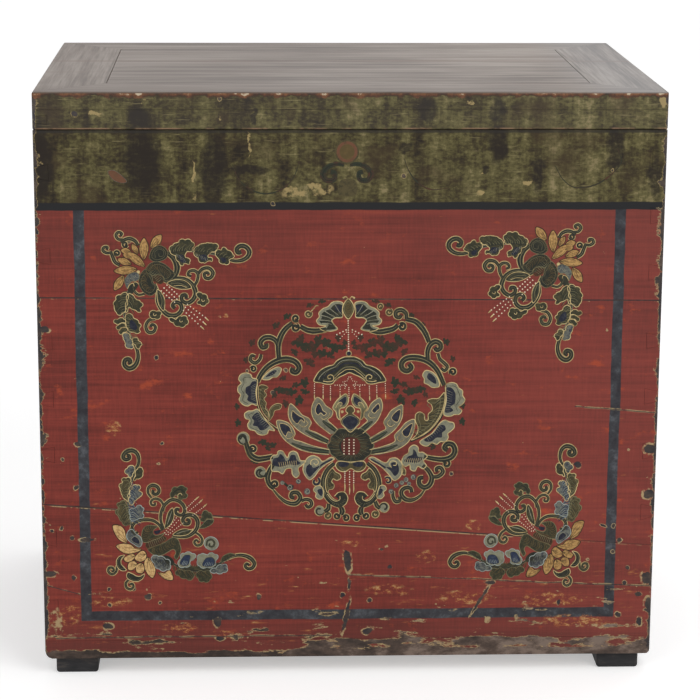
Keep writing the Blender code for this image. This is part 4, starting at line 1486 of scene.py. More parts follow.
    def left_scrolls(self, art: Drawing) -> None:
        """Scrolling stems of the upper left ring."""
        art.stem([(325, 328.2), (319, 329), (313, 329.6), (306, 328.6), (299, 325)], 3.4)
        art.stem([(291, 321.6), (284.4, 326.8), (279.8, 333.4), (276.8, 343), (277.2, 356.4)], 3.4)
        art.curl((294.2, 317), 4.6, 40)
        art.curl((294, 326), 4.9, 300)
        art.stem([(277, 346), (274.4, 339.2), (268.6, 335.8), (262.2, 336.6), (258.8, 341), (260.6, 345.6),
                  (264.6, 344.6), (264.4, 341.8)], 3.2, (0.8, 1.0, 0.8))
        art.stem([(255.6, 380), (258.6, 373.4), (265.2, 365.4), (275, 359.4), (285.6, 357.4), (294.2, 360.4),
                  (297.6, 366), (294.8, 370.4), (290.6, 369.2), (291.6, 366)], 3.7, (0.7, 1.0, 0.8))
        art.stem([(259.4, 352.4), (258, 357.4), (253.2, 361), (248.6, 357.8), (250, 353.6), (253.4, 354.6)], 2.2)
        art.curl((251.4, 366.8), 4.0, 200)
        art.curl((307, 312.6), 4.2, 330, core=Paint.MOSS)
        art.line(Paint.UNDER, [(309.8, 310), (312.6, 307), (314.6, 304.6), (317, 304.4)], 1.3)
        art.leaf([(260.8, 377), (264.4, 371.8), (270, 367.6), (276.6, 365), (279.6, 366.6), (278.6, 371),
                  (275, 375), (271, 375.4), (267, 377.6)], Paint.PALE,
                 [(263.6, 375.2), (267.4, 371), (272.6, 368), (275.6, 368.4), (272, 372.6), (267.6, 374.4)])
        art.veins(Paint.MIST, [(263, 376), (269, 372), (276, 367)], 2.6, 6, 0.5)

    def right_scrolls(self, art: Drawing) -> None:
        """Scrolling stems of the upper right ring."""
        art.stem([(369, 328.6), (377.5, 330.6), (385.3, 329.6), (393, 327.4), (397, 324)], 3.4)
        art.curl((401.4, 325.4), 5.0, 230)
        art.stem([(405.4, 318), (405.2, 312.6), (400.8, 309.2), (395.4, 310.6), (395, 315), (398.6, 316.4),
                  (400.4, 314)], 2.8)
        art.stem([(405, 318), (414.6, 320.6), (421.6, 327.2), (426, 334.4), (428.6, 341)], 3.4)
        art.stem([(427.6, 358), (427.4, 350), (430.2, 343.4), (435, 340.6), (439.8, 342.6), (440.4, 347),
                  (436.8, 349), (434.6, 346.4)], 3.2, (0.8, 1.0, 0.8))
        art.stem([(444.6, 384), (437.9, 370), (430.9, 362.3), (423, 358), (413.3, 356.3), (405.2, 357.6),
                  (401.2, 362), (402, 367.4), (407, 369.6), (411.2, 366.2), (408.6, 362.6)], 3.6, (0.7, 1.0, 0.8))
        art.stem([(438, 352.4), (440, 358), (444, 361.6), (447.6, 365.8), (444.8, 369.4), (441.4, 367)], 2.2)
        art.curl((453.3, 370.7), 4.6, 150)
        art.curl((379.6, 305.4), 3.7, 60, core=Paint.MOSS)
        art.curl((388.1, 311), 4.2, 300, core=Paint.MOSS)
        art.leaf([(425.4, 369.4), (422.6, 374), (424.5, 377.7), (424.4, 381.4), (428.4, 383.4), (432.3, 386),
                  (439.6, 385), (438, 377), (432, 370.6)], Paint.PALE,
                 [(429, 371.6), (427, 375.6), (430, 379.6), (436.6, 382.6), (435.6, 376.6)])

    def left_leaves(self, art: Drawing) -> None:
        """The two scalloped leaves of the left side, their rib, and the feathered leaves inside it."""
        art.leaf([(255.3, 377.4), (250.4, 375.8), (249, 372.6), (244.2, 370.8), (238.8, 372.4), (236.6, 377),
                  (239.2, 381), (236, 384.4), (236, 389.6), (238.6, 392.6), (237, 397.4), (240, 401.6), (245.6, 403.8),
                  (250, 401.8), (255, 403), (254, 390)], Paint.PALE,
                 [(254.6, 379.4), (250.4, 379.2), (247.6, 383), (244, 385), (243.4, 390.6), (246, 393.6), (245, 397.6),
                  (249.6, 400.4), (254.8, 401), (253.8, 390)])
        art.line(Paint.DARK, [(252, 377.6), (247, 375), (241.4, 376.4), (242, 381), (239.4, 387), (242, 392),
                              (240.6, 398), (246, 401.4)], 0.6)
        art.hatch(Paint.DARK, ((254.2, 380.6), (245.6, 384.6)), ((254.6, 400), (244.6, 397.4)), 11, 0.7)
        art.hatch(Paint.MIST, ((254, 381.6), (249, 384.6)), ((254.4, 399), (249, 396.6)), 10, 0.5)
        art.leaf([(255.4, 407), (250.4, 408.6), (246, 408.8), (242.4, 411.6), (243.4, 416), (247.4, 418), (245.4, 422.4),
                  (247.4, 427), (252.6, 428.4), (255.4, 431.4), (260.6, 432.8), (265.4, 431.4), (267, 427.8),
                  (272.6, 428.4), (264.4, 418.6)], Paint.PALE,
                 [(256, 410), (252, 412), (249.6, 415.6), (252, 418.6), (250.6, 423), (255.4, 424.6), (258, 428),
                  (263, 427.4), (267.6, 422.6), (260, 416)])
        art.line(Paint.DARK, [(252, 410.4), (246.6, 412.6), (249.4, 418), (248, 424.4), (254, 427.4), (260, 430.4)], 0.6)
        art.hatch(Paint.MIST, ((257, 411.6), (252, 414)), ((267, 422.4), (262.6, 426.4)), 8, 0.5)
        rib = [(256.2, 378), (254.8, 388), (255.2, 399), (258.2, 409.6), (264.4, 417.6), (277, 428)]
        art.line(Paint.DARK, rib, 3.0, (0.8, 1.0, 0.8))
        art.line(Paint.LINE, [(256, 380), (254.8, 390), (255.6, 401), (259, 410.6), (265.6, 418.6),
                              (275.4, 426)], 0.7)
        feathers = (
            [(257.4, 383.6), (262.6, 383), (266.4, 385.6), (262.4, 388.8), (265, 392.6), (262, 396.6), (264.6, 401),
             (263.6, 406), (267, 411), (267.4, 417), (261.4, 410.6), (257.4, 399.6)],
            [(267, 418.6), (266.8, 410.6), (269.6, 404.6), (275.4, 401.4), (280, 402.6), (278.6, 406.8),
             (273, 408.6), (271.4, 413.4)],
        )
        for outline in feathers:
            art.leaf(outline, Paint.MOSS, rim=0.5)
        art.veins(Paint.DARK, [(256.4, 384), (256.8, 396), (259.6, 408), (266, 416)], -6.0, 11, 1.0)
        art.veins(Paint.SAGE, [(256.4, 386), (256.8, 398), (259.6, 408), (266, 416)], -6.0, 10, 0.6)

    def right_leaves(self, art: Drawing) -> None:
        """The two scalloped leaves of the right side, their rib, and the feathered leaf inside it."""
        art.leaf([(446.6, 383.4), (452, 381.4), (456.8, 382.6), (459.4, 386.6), (463.4, 389.6), (463.6, 394.4),
                  (466, 398.6), (463.6, 403), (459.6, 406), (463, 409.4), (460.4, 413), (455.4, 413.4), (451.4, 415),
                  (445, 413.6), (447, 399)], Paint.PALE,
                 [(447, 386.4), (452.4, 386.6), (456, 391.4), (456.6, 397), (455.6, 402.6), (451.6, 405.6),
                  (454.6, 409), (450, 411.6), (446, 411.4), (447.4, 399)])
        art.line(Paint.DARK, [(450, 384.6), (456, 385.4), (459.4, 391), (461, 398.4), (457, 404.6), (458.6, 410)], 0.6)
        art.hatch(Paint.DARK, ((447.4, 387.6), (455.6, 391)), ((446, 410), (453, 410)), 12, 0.7)
        art.hatch(Paint.MIST, ((447.4, 389), (453.6, 392)), ((446.4, 411), (451, 410.6)), 10, 0.5)
        art.leaf([(442.4, 420.4), (446.4, 418.8), (450.4, 420.6), (454.6, 421.6), (455.6, 426), (452, 430), (449, 432.4),
                  (449.6, 436.4), (446.4, 440.4), (441.6, 440.4), (438, 443), (432.8, 441.6), (428.6, 444.6),
                  (424, 444), (420.6, 440.6), (432.8, 432)], Paint.PALE,
                 [(441.6, 423.4), (446, 424.4), (447, 428.4), (443.4, 431.6), (443.4, 436), (437.6, 436.6),
                  (433, 440), (427, 440.4), (425, 438.6), (434, 431.6)])
        art.hatch(Paint.MIST, ((440.4, 424), (444.4, 427)), ((428, 437), (430, 440)), 9, 0.5)
        rib = [(446.2, 384), (446.6, 397), (444.4, 409.6), (440, 419), (432.6, 428), (424, 434.4), (411, 440)]
        art.line(Paint.DARK, rib, 3.0, (0.8, 1.0, 0.8))
        art.line(Paint.LINE, [(446.4, 386), (446.4, 398), (444, 409.6), (439.6, 418.6), (432.4, 427.4), (424, 433.6),
                              (413, 438.4)], 0.7)
        art.leaf([(412, 438.6), (417.6, 432.4), (418.6, 426), (415.8, 419), (416.4, 412.6), (420.4, 410.6),
                  (424.4, 413), (425.6, 418.6), (428.6, 418.8), (429, 412.6), (432.8, 409), (432, 403.6), (427.6, 399.6),
                  (432, 397.4), (439, 397), (445, 391.4), (444.6, 404), (440, 416), (431.6, 427), (423, 433.4)],
                 Paint.MOSS, rim=0.8)
        art.veins(Paint.DARK, [(445, 394), (443.6, 406), (438.6, 417), (430, 427.6), (417, 436.4)], 9.0, 17, 1.1)
        art.veins(Paint.SAGE, [(445, 396), (443, 408), (437.6, 418), (429, 428), (419, 435)], 9.0, 15, 0.6)

    def canopy(self, art: Drawing, middle: Drawing) -> None:
        """The canopy with its eaves, its curls and its fringe of pearls."""
        middle.leaf(self.whole([(348, 355.2), (343.4, 355.4), (339, 357.2), (335.4, 359.4), (332, 363.2), (328, 364.2),
                                (323.6, 365.8), (318.4, 369.2), (315, 373.6), (312.6, 379.4), (319.6, 381), (326, 382.4),
                                (331.4, 381.8), (334.2, 378.4), (338, 375.6), (343.4, 373.2), (348.4, 371)]), Paint.DARK)
        bands = (
            (Paint.MIST, 0.8, ((317.4, 378), (318, 376), (322.6, 371), (328.6, 367.4), (334.4, 365), (338.2, 361),
                               (342.6, 358.8))),
            (Paint.NAVY, 2.0, ((321, 376.4), (325, 373), (330, 370.4), (335.6, 367.6), (339.2, 364.2), (343, 362))),
            (Paint.SAGE, 2.2, ((333, 374.6), (337, 370.8), (341, 367.4), (344.6, 365.6))),
            (Paint.LINE, 0.7, ((333.6, 377), (337.4, 373), (341.6, 370), (345, 368))),
        )
        for paint, width, half in bands:
            middle.line(paint, [*half, *[self.mirror(point) for point in reversed(half)]], width)
        art.line(Paint.LINE, [(322, 379.2), (327, 380), (331.8, 378.8), (332.6, 375.2), (329.6, 373), (326.6, 374.6),
                              (327.4, 377), (329.6, 376.6)], 1.0)
        middle.bulb((347.8, 352), 3.0, Paint.NAVY, False)
        for column, head, foot in ((313.2, 382, 391), (322, 384, 391), (329.4, 384.6, 392.4), (339.2, 385, 390)):
            art.beads((column, head), (column, foot), round((foot - head) / 2.0) + 1, 0.6)
            art.line(Paint.LINE, [(column, foot + 1.6), (column, foot + 4), (column, foot + 6.4)], 1.3, (0.5, 1.0, 0.6))
        art.beads((334, 383.4), (345.6, 383.4), 6, 0.6)
        star = ((348, 375.4), (346.2, 379.2), (342, 380.2), (345, 383), (344, 386.6))
        for here, there in zip(star, star[1:]):
            art.beads(here, there, 3, 0.55)
        middle.beads((348, 386), (348.2, 396), 6, 0.6)

    def left_petals(self, art: Drawing) -> None:
        """Three lotus petals of the left side, with their long bases."""
        art.petal([(316, 395.4), (311.7, 401.4), (310.1, 408.4), (311.6, 415.2), (316.6, 422.2), (322.4, 427), (329.6, 432.4),
                   (337, 427.8), (331.8, 423), (326.8, 417.8), (330.6, 414.4), (331.8, 409.6), (328.8, 406.4),
                   (325, 404), (320.8, 398.2)],
                  [(317.6, 401.4), (314.6, 405.6), (314.4, 410), (317, 413), (319.6, 411), (323, 413.6),
                   (325.4, 411.2), (321.8, 408.6), (320.4, 405)],
                  [(319.4, 414.6), (322, 417.6), (327, 415), (329, 410.4)], [(321.6, 419), (327, 423), (335, 428.4)])
        art.petal([(288.9, 401.8), (286.6, 409.4), (288, 417.6), (293.6, 425.4), (305.5, 433.6), (326, 441.8), (328, 437.6),
                   (315.6, 430.8), (307.6, 427), (310, 421), (307.6, 416.4), (301, 413), (297, 408.6)],
                  [(291, 408.6), (290.6, 416.6), (296, 421.6), (299.6, 417.6), (303, 420.4), (302.6, 416.6),
                   (297.6, 413.6), (294, 411)],
                  [(297.6, 422.4), (302.4, 425), (306.8, 421.4), (304, 417.8)], [(304, 428.6), (314, 433.8), (327, 440)])
        art.petal([(275.2, 418.4), (277, 428.4), (283.4, 438), (295.2, 446), (308, 450.2), (328, 452.4), (328.4, 447.8),
                   (312, 443.8), (300, 439.6), (291.8, 436.6), (293.6, 431.6), (290.6, 424.8), (285.6, 420.2)],
                  [(278, 421.6), (280, 429.4), (284, 434), (286.6, 429.6), (289.6, 430.6), (288.6, 425.6), (284, 422)],
                  [(283, 434.4), (287.4, 436.6), (291.8, 433), (289.4, 429)], [(290, 441), (300, 445), (313, 448), (328, 450)])

    def right_petals(self, art: Drawing) -> None:
        """Three lotus petals of the right side, with their long bases."""
        art.petal([(379.4, 396.4), (382, 401.4), (382.2, 406.6), (380.4, 412.4), (376.6, 419.4), (369.6, 426), (362.4, 431.6),
                   (357.4, 427.4), (363, 423), (367, 419), (363.8, 415), (363.6, 410.8), (367, 408.4), (370.4, 402.4),
                   (374, 399)],
                  [(378, 402), (374.4, 405), (371.4, 409.4), (374.4, 411.6), (376.6, 409.4), (379.4, 406.4)],
                  [(375, 415.6), (371, 416.4), (367.8, 413.4), (369.4, 410.4)], [(372.4, 419.6), (367, 423.6), (360.6, 429)])
        art.petal([(402.2, 403.4), (403, 410), (401.8, 417.6), (396.4, 426.4), (387.6, 434), (371.4, 441.8), (369.4, 437),
                   (380, 430.6), (385.8, 427), (383.6, 420.4), (387.4, 414.4), (390.4, 409.8), (395, 406.4)],
                  [(400, 408), (395, 411), (391.4, 416.6), (394.4, 419.6), (397.4, 420.6), (400, 415)],
                  [(395, 422.6), (390.6, 425), (387, 421.6), (389.6, 418)], [(387.4, 430), (380, 434.6), (370.6, 440)])
        art.petal([(414.6, 418), (415.4, 424.4), (412.6, 434.4), (406.8, 442.4), (394.7, 449), (371, 453), (369.6, 448),
                   (383, 444.8), (395.4, 439.4), (394.8, 434), (400.8, 427.4), (406.4, 421)],
                  [(412.6, 422), (407, 425.4), (402.4, 430.4), (404.6, 434.4), (408, 435.4), (411.4, 429)],
                  [(404.6, 438), (400.6, 440), (397.4, 436.6), (400, 433)], [(398, 443.4), (385, 448), (371, 450.4)])

    def heart(self, middle: Drawing, art: Drawing) -> None:
        """The centre bud, the calyx with its window of pearls, and the collar."""
        art.leaf([(345.2, 392.2), (339.6, 395.2), (334.8, 400), (331.9, 406.2), (335, 410), (336.4, 415.6), (339, 418),
                  (338.6, 410), (339.6, 406.6), (343.4, 405.8), (346.4, 402.8), (347.8, 398.6), (347, 395)],
                 Paint.SAGE, [(345, 394.8), (340.4, 397), (337.4, 400), (341, 400.6), (340, 403.4), (343, 403.4),
                              (345.8, 399)], rim=0.95)
        art.line(Paint.LINE, [(334.8, 406), (337, 401.8), (339.6, 400.4), (341.4, 402), (339.4, 404.4)], 0.8)
        art.line(Paint.NAVY, [(337, 406.4), (336.4, 411.4), (338.4, 416.6)], 1.8)
        art.bulb((341.4, 410), 1.5, Paint.LINE, False)
        middle.leaf(self.whole([(348.2, 404.2), (345.4, 407), (345.2, 409.8), (347, 411.4), (345, 413.4), (340.4, 417.4),
                                (340.4, 421.4), (344, 425.4), (348.8, 430)]), Paint.MOSS,
                    self.whole([(348.8, 413.8), (345, 415.4), (341.8, 418.8), (343.4, 423.6), (348.8, 427.8)]), rim=0.95)
        calyx = self.whole([(349, 428.6), (343.4, 427), (337.6, 427.4), (333.8, 431.4), (330.4, 435), (329.6, 439.4),
                            (326.4, 443.6), (328.6, 448), (330.4, 452.4), (334.6, 455.6), (338.4, 459), (349.4, 459.6)])
        middle.fill(Paint.DARK, calyx)
        middle.line(Paint.SAGE, calyx, 1.3, closed=True)
        window = self.whole([(349, 435.4), (343.4, 437), (340.6, 442), (340.8, 447.4), (343.4, 451.8), (349.2, 453.4)])
        middle.fill(Paint.RED, window)
        for index in range(54):
            way = 2 * math.pi * index / 54
            reach = 1.0 + 0.12 * math.sin(index * 2.7)
            root = (349.0 + 10.6 * math.cos(way), 444.2 + 9.8 * math.sin(way))
            tip = (349.0 + 19.6 * reach * math.cos(way + 0.12), 444.2 + 13.6 * reach * math.sin(way + 0.12))
            bend = ((root[0] + tip[0]) / 2, (root[1] + tip[1]) / 2)
            paint = (Paint.SAGE, Paint.STROKE, Paint.STROKE)[index % 3]
            middle.line(paint, [root, bend, tip], 0.8, (1.0, 0.8, 0.6))
        for column in (343.4, 348.6, 353.4):
            middle.beads((column, 438), (column, 452), 6, 0.9)
        middle.leaf(self.whole([(349.4, 460.4), (337.4, 459.6), (334.8, 463.6), (338.4, 468.6), (345, 469.8),
                                (349.4, 467)]), Paint.MOSS, rim=1.0)
        art.fill(Paint.NAVY, [(338.4, 460.6), (338.2, 464), (343.6, 465.2), (348.2, 463.4), (348.2, 460.8)])
        for column, foot in ((344.4, 480), (349.2, 483), (353.4, 481)):
            middle.beads((column, 470), (column, foot), 6, 0.75)
            middle.line(Paint.LINE, [(column, foot + 1.4), (column + 0.2, foot + 6), (column, foot + 10)], 1.5,
                        (0.7, 1.0, 0.4))

    def lower_pair(self, art: Drawing) -> None:
        """The two great leaves under the calyx and the curls between them."""
        art.stem([(333.6, 461.4), (327, 467.4), (323, 475.6), (322.4, 484.4), (325.4, 493), (331.4, 500),
                  (339, 503)], 3.2, (0.7, 1.0, 1.2))
        art.leaf([(331.6, 466.6), (335, 470), (339.4, 472.6), (340.4, 476), (336.6, 478.6), (332.4, 477), (331, 480),
                  (333.6, 483), (332.4, 487), (328.4, 487.8), (326.6, 490.6), (324.4, 483), (326, 473.6)],
                 Paint.MOSS, rim=0.8)
        art.veins(Paint.DARK, [(331, 468), (327, 475), (325.6, 485)], -6.0, 9, 1.0)
        art.fill(Paint.DARK, [(328.6, 496.6), (334, 499.6), (337.6, 497.4), (334.6, 494), (338.4, 490.4), (344.4, 490.8),
                              (347.6, 496), (346.4, 501.4), (341, 505.4), (333.6, 504.4)])
        art.line(Paint.LINE, [(333.8, 494.4), (338, 490.6), (344.2, 490.6), (347.6, 496), (346, 501.6), (342, 505)], 0.9)
        art.line(Paint.LINE, [(326.6, 492), (331, 497.4), (335.4, 499.4), (339.4, 497.6), (339.4, 494.4)], 0.9)
        art.veins(Paint.SAGE, [(331, 500.6), (340, 501.6), (344.6, 496)], 3.4, 8, 0.6)
        art.stem([(340.6, 505.6), (341.8, 510), (340.6, 513)], 3.4)
        art.curl((336.4, 514.2), 4.2, 330)
        art.curl((345.8, 516.4), 4.4, 200)

    def lower_left(self, art: Drawing) -> None:
        """Leaves and curls of the lower left ring."""
        art.stem([(271, 454.4), (262.6, 456.2), (254.6, 456.6), (248.4, 452.6), (245.6, 446.4), (243.6, 440)], 3.6)
        art.curl((241, 436), 6.8, 70, 0.8, Paint.PALE)
        art.line(Paint.DARK, [(237.8, 437), (240.4, 433.6), (243.6, 436.6), (244.4, 443)], 2.8, (0.7, 1.0, 1.2))
        art.curl((250.8, 446.6), 4.8, 150)
        art.leaf([(269.6, 461), (268.8, 456.4), (271.4, 453), (275, 452.6), (276.6, 448.8), (281, 449), (283.4, 452.6),
                  (285.8, 455.6), (288, 450.6), (291.6, 449), (295.6, 450.6), (297.4, 454.6), (299.2, 458.4), (304.4, 459),
                  (301, 462.8), (296.8, 466.4), (298, 472.4), (294.6, 475.6), (291, 472.6), (289.6, 466.4), (284.4, 467),
                  (281, 471.6), (276.4, 469.4), (270, 468.6)], Paint.PALE)
        art.fill(Paint.NAVY, [(270.8, 462), (271.8, 456.4), (276.4, 455), (278.4, 451.8), (282, 454.6), (284.6, 459),
                              (287, 457.6), (289.4, 453), (293.4, 453), (295.4, 458), (299.4, 461), (295, 463), (288, 462.4),
                              (278, 464.6)])
        art.hatch(Paint.LINE, ((277, 460), (278.6, 466)), ((294.6, 458.4), (295, 463.4)), 9, 0.55)
        art.fill(Paint.MOSS, [(292.4, 464), (295, 464.4), (295.6, 471.6), (293.4, 472.6)])
        art.fill(Paint.MOSS, [(272, 466), (278, 465.4), (281, 467.4), (277.6, 468.6)])
        art.stem([(271.6, 462), (267.6, 468.4), (265.6, 476.4), (268.4, 483.4), (272, 486)], 3.2)
        art.curl((258.2, 470.2), 6.2, 0, 0.9, Paint.PALE)
        art.line(Paint.DARK, [(265.4, 473.6), (260.8, 474), (257, 471.4), (258.6, 468)], 2.4)
        art.curl((273, 482), 5.0, 90)
        art.stem([(271, 487), (277.4, 494.6), (286, 500.6), (294.8, 501.2), (299, 496), (296, 490.8),
                  (290.4, 491), (289.6, 495), (293, 496)], 2.8, (0.3, 1.0, 0.8))
        art.stem([(300, 499), (304.6, 497.4), (309.4, 499), (310.4, 503), (306.6, 505.2), (304.4, 502.6)], 2.3)
        art.leaf([(304, 459), (307.4, 455), (312.4, 453.6), (318, 456), (321.4, 459.4), (330.4, 455.4), (333.6, 457),
                  (326.4, 461.6), (318.4, 468), (313.4, 474.6), (308.4, 477.8), (304.6, 474.6), (301.6, 467.4)],
                 Paint.PALE, [(305.4, 464), (309.4, 461.6), (312, 465.4), (319, 463.6), (313.4, 470.6), (308.4, 475),
                              (304.6, 469.6)])
        art.line(Paint.LINE, [(309.4, 463), (310, 458.6), (314.4, 457), (317.6, 460.4), (314.8, 463.2), (312.6, 461)], 0.9)
        art.line(Paint.NAVY, [(316, 466.4), (323, 461.4), (331.6, 457.4)], 2.2)
        art.curl((315, 479.6), 5.2, 300, 0.8, Paint.NAVY)
        art.leaf([(319.6, 484), (314.4, 484.6), (312.4, 488.4), (315, 491.4), (314.6, 495), (318.4, 497.4), (322, 496),
                  (322.6, 489)], Paint.PALE, [(320.4, 486.6), (316.4, 488), (317.6, 492), (320.6, 494.4), (322, 490)])
        art.stem([(328, 502), (327.6, 507), (323.6, 510)], 2.8)
        art.curl((318.6, 509), 5.4, 20, 0.8, Paint.PALE)
        art.curl((327, 513.8), 4.4, 250, core=Paint.MOSS)
        self.swirls(art, (((280.6, 480.6), 2.2), ((288.6, 485.4), 3.2), ((297, 479.4), 2.6), ((306, 489.6), 3.2)))
        art.line(Paint.DARK, [(282.6, 481), (286.4, 484), (292, 484.4)], 2.6)

    def lower_right(self, art: Drawing) -> None:
        """Leaves and curls of the lower right ring."""
        art.stem([(425, 455.4), (436, 457.6), (446, 458.2), (453.6, 455.4), (456.6, 449.4), (454, 443.6), (448.6, 442.8),
                  (446, 446.6), (449, 449)], 3.4, (0.7, 1.0, 0.9))
        art.curl((448.2, 462.5), 5.0, 200)
        art.leaf([(402.4, 461), (404.4, 454.6), (409, 451.4), (410, 446.6), (414.6, 443.6), (419, 446), (419.6, 450.6),
                  (424, 451), (428.4, 455), (424.6, 459.4), (427.6, 464.4), (424, 467.4), (419, 465), (416, 469.6),
                  (411.4, 468), (410.6, 463.4), (406, 465)], Paint.PALE)
        art.fill(Paint.NAVY, [(405, 459.6), (409, 455), (413.4, 453), (414.4, 448), (417, 450.6), (419, 455.4),
                              (424, 456.4), (420, 460.6), (412, 461)])
        art.hatch(Paint.LINE, ((407, 457), (405.4, 462.4)), ((423.4, 456.6), (423, 462)), 9, 0.55)
        art.leaf([(402.6, 464.6), (406.4, 468.6), (406, 473.6), (402.6, 472.4)], Paint.MOSS, rim=0.7)
        art.stem([(424, 464), (430.2, 470), (433.4, 477), (430.8, 484), (425.4, 486.2), (420.8, 482.8), (421, 477),
                  (424.6, 476.4)], 3.2, (0.7, 1.0, 0.8))
        art.stem([(432.6, 475.4), (439.6, 475.4), (444.6, 470.6), (442, 466.4), (438, 467.4), (438.6, 470.6)], 2.6)
        art.stem([(426.6, 488), (421, 495), (413.4, 498.8), (406.8, 498), (402.8, 493.8), (402.6, 489.6), (406.6, 486.4),
                  (411.8, 487.2), (413, 491)], 2.8, (0.3, 1.0, 0.8))
        art.stem([(393.6, 489.6), (394, 496), (397, 500.4), (401, 499), (400, 495.6)], 2.3)
        art.leaf([(386.4, 461.2), (390.6, 457), (397.2, 456.8), (402.4, 462), (403.4, 469.4), (400.6, 475.6), (395.2, 479),
                  (388.4, 472), (381.6, 465.4), (371, 459), (368.6, 456.6), (372.6, 455.4)], Paint.PALE,
                 [(391.4, 461.6), (396.4, 460.6), (399.4, 465), (399.4, 471), (395.6, 474.6), (390.6, 469), (386.6, 465.4),
                  (391.6, 465.4)])
        art.line(Paint.LINE, [(392, 466), (389.6, 462.6), (392.4, 459.4), (396.6, 460.4), (396.4, 463.8), (393.6, 463.6)], 0.9)
        art.line(Paint.NAVY, [(386, 466.4), (379, 462), (371, 457.6)], 2.2)
        art.curl((388.4, 479), 4.6, 220, 0.8, Paint.NAVY)
        art.leaf([(381, 484), (385.4, 484.4), (387, 488), (384, 490.6), (384.6, 494.4), (381, 497.4), (377.6, 496),
                  (378.4, 489)], Paint.PALE, [(380.4, 486.6), (383.4, 488), (382, 492), (379.6, 494), (379, 490)])
        art.stem([(375.6, 500), (377.6, 504.6), (380.6, 507)], 2.8)
        art.curl((384.8, 506), 5.6, 160, 0.8, Paint.PALE)
        art.curl((375.6, 512.6), 4.4, 300, core=Paint.MOSS)
        self.swirls(art, (((391.7, 490), 2.6), ((397, 484), 2.6), ((402.7, 481.4), 2.4), ((407, 478.4), 2.6),
                          ((410, 482.4), 2.2), ((414.5, 475.8), 2.8)))

    def swirls(self, art: Drawing, spots: Sequence[Tuple[Point, float]]) -> None:
        """Small soft swirls between the curls.

        Args:
            art: The drawing.
            spots: Middle and radius of each.
        """
        for index, (centre, radius) in enumerate(spots):
            art.fill(Paint.SLATE, ring(centre, radius, 12), False)
            art.line(Paint.MIST, art.coil(centre, radius * 0.9, 80.0 * index, 1.1), 0.8, (0.5, 1.0, 0.7))


@dataclass(frozen=True)
class CornerSpray:
    """A lotus spray for one corner of the red field, drawn for the left and turned over for the right."""

    name: str
    across: Tuple[float, float]
    down: Tuple[float, float]
    petals: Paint = Paint.GOLD

    def place(self, point: Point) -> Point:
        """Where a point of the drawn spray lies in this corner."""
        return self.across[0] + self.across[1] * point[0], self.down[0] + self.down[1] * point[1]

    def draw(self, art: Drawing) -> None:
        """Draws the spray, each kind in its own way."""
        raise NotImplementedError

    def build(self, finishes: Dict[Paint, bpy.types.Material]) -> None:
        """Draws and makes it.

        Args:
            finishes: Material of each colour.
        """
        art = Drawing(self.name, Body.CASE, (self.place,))
        self.draw(art)
        art.build(finishes)

    def streaked(self, art: Drawing, outline: Sequence[Point], tip: Point, base: Point) -> None:
        """Draws one gold petal with dark streaks.

        Args:
            art: The drawing.
            outline: Points round it.
            tip: Its point.
            base: Its other end.
        """
        middle = Vector(tip).lerp(Vector(base), 0.5)
        spread = [Vector(spot) + (Vector(spot) - middle).normalized() * 1.0 for spot in outline]
        art.fill(Paint.UMBER, [tuple(spot) for spot in spread])
        art.fill(self.petals, outline)
        side = Vector((base[1] - tip[1], tip[0] - base[0])) * 0.1
        for share in (-1.0, 0.0, 1.0):
            streak = [Vector(tip).lerp(Vector(base), 0.3) + side * share, middle + side * share * 1.4, Vector(base)]
            art.line(Paint.STROKE, [tuple(spot) for spot in streak], 0.65, (0.5, 1.0, 1.4))


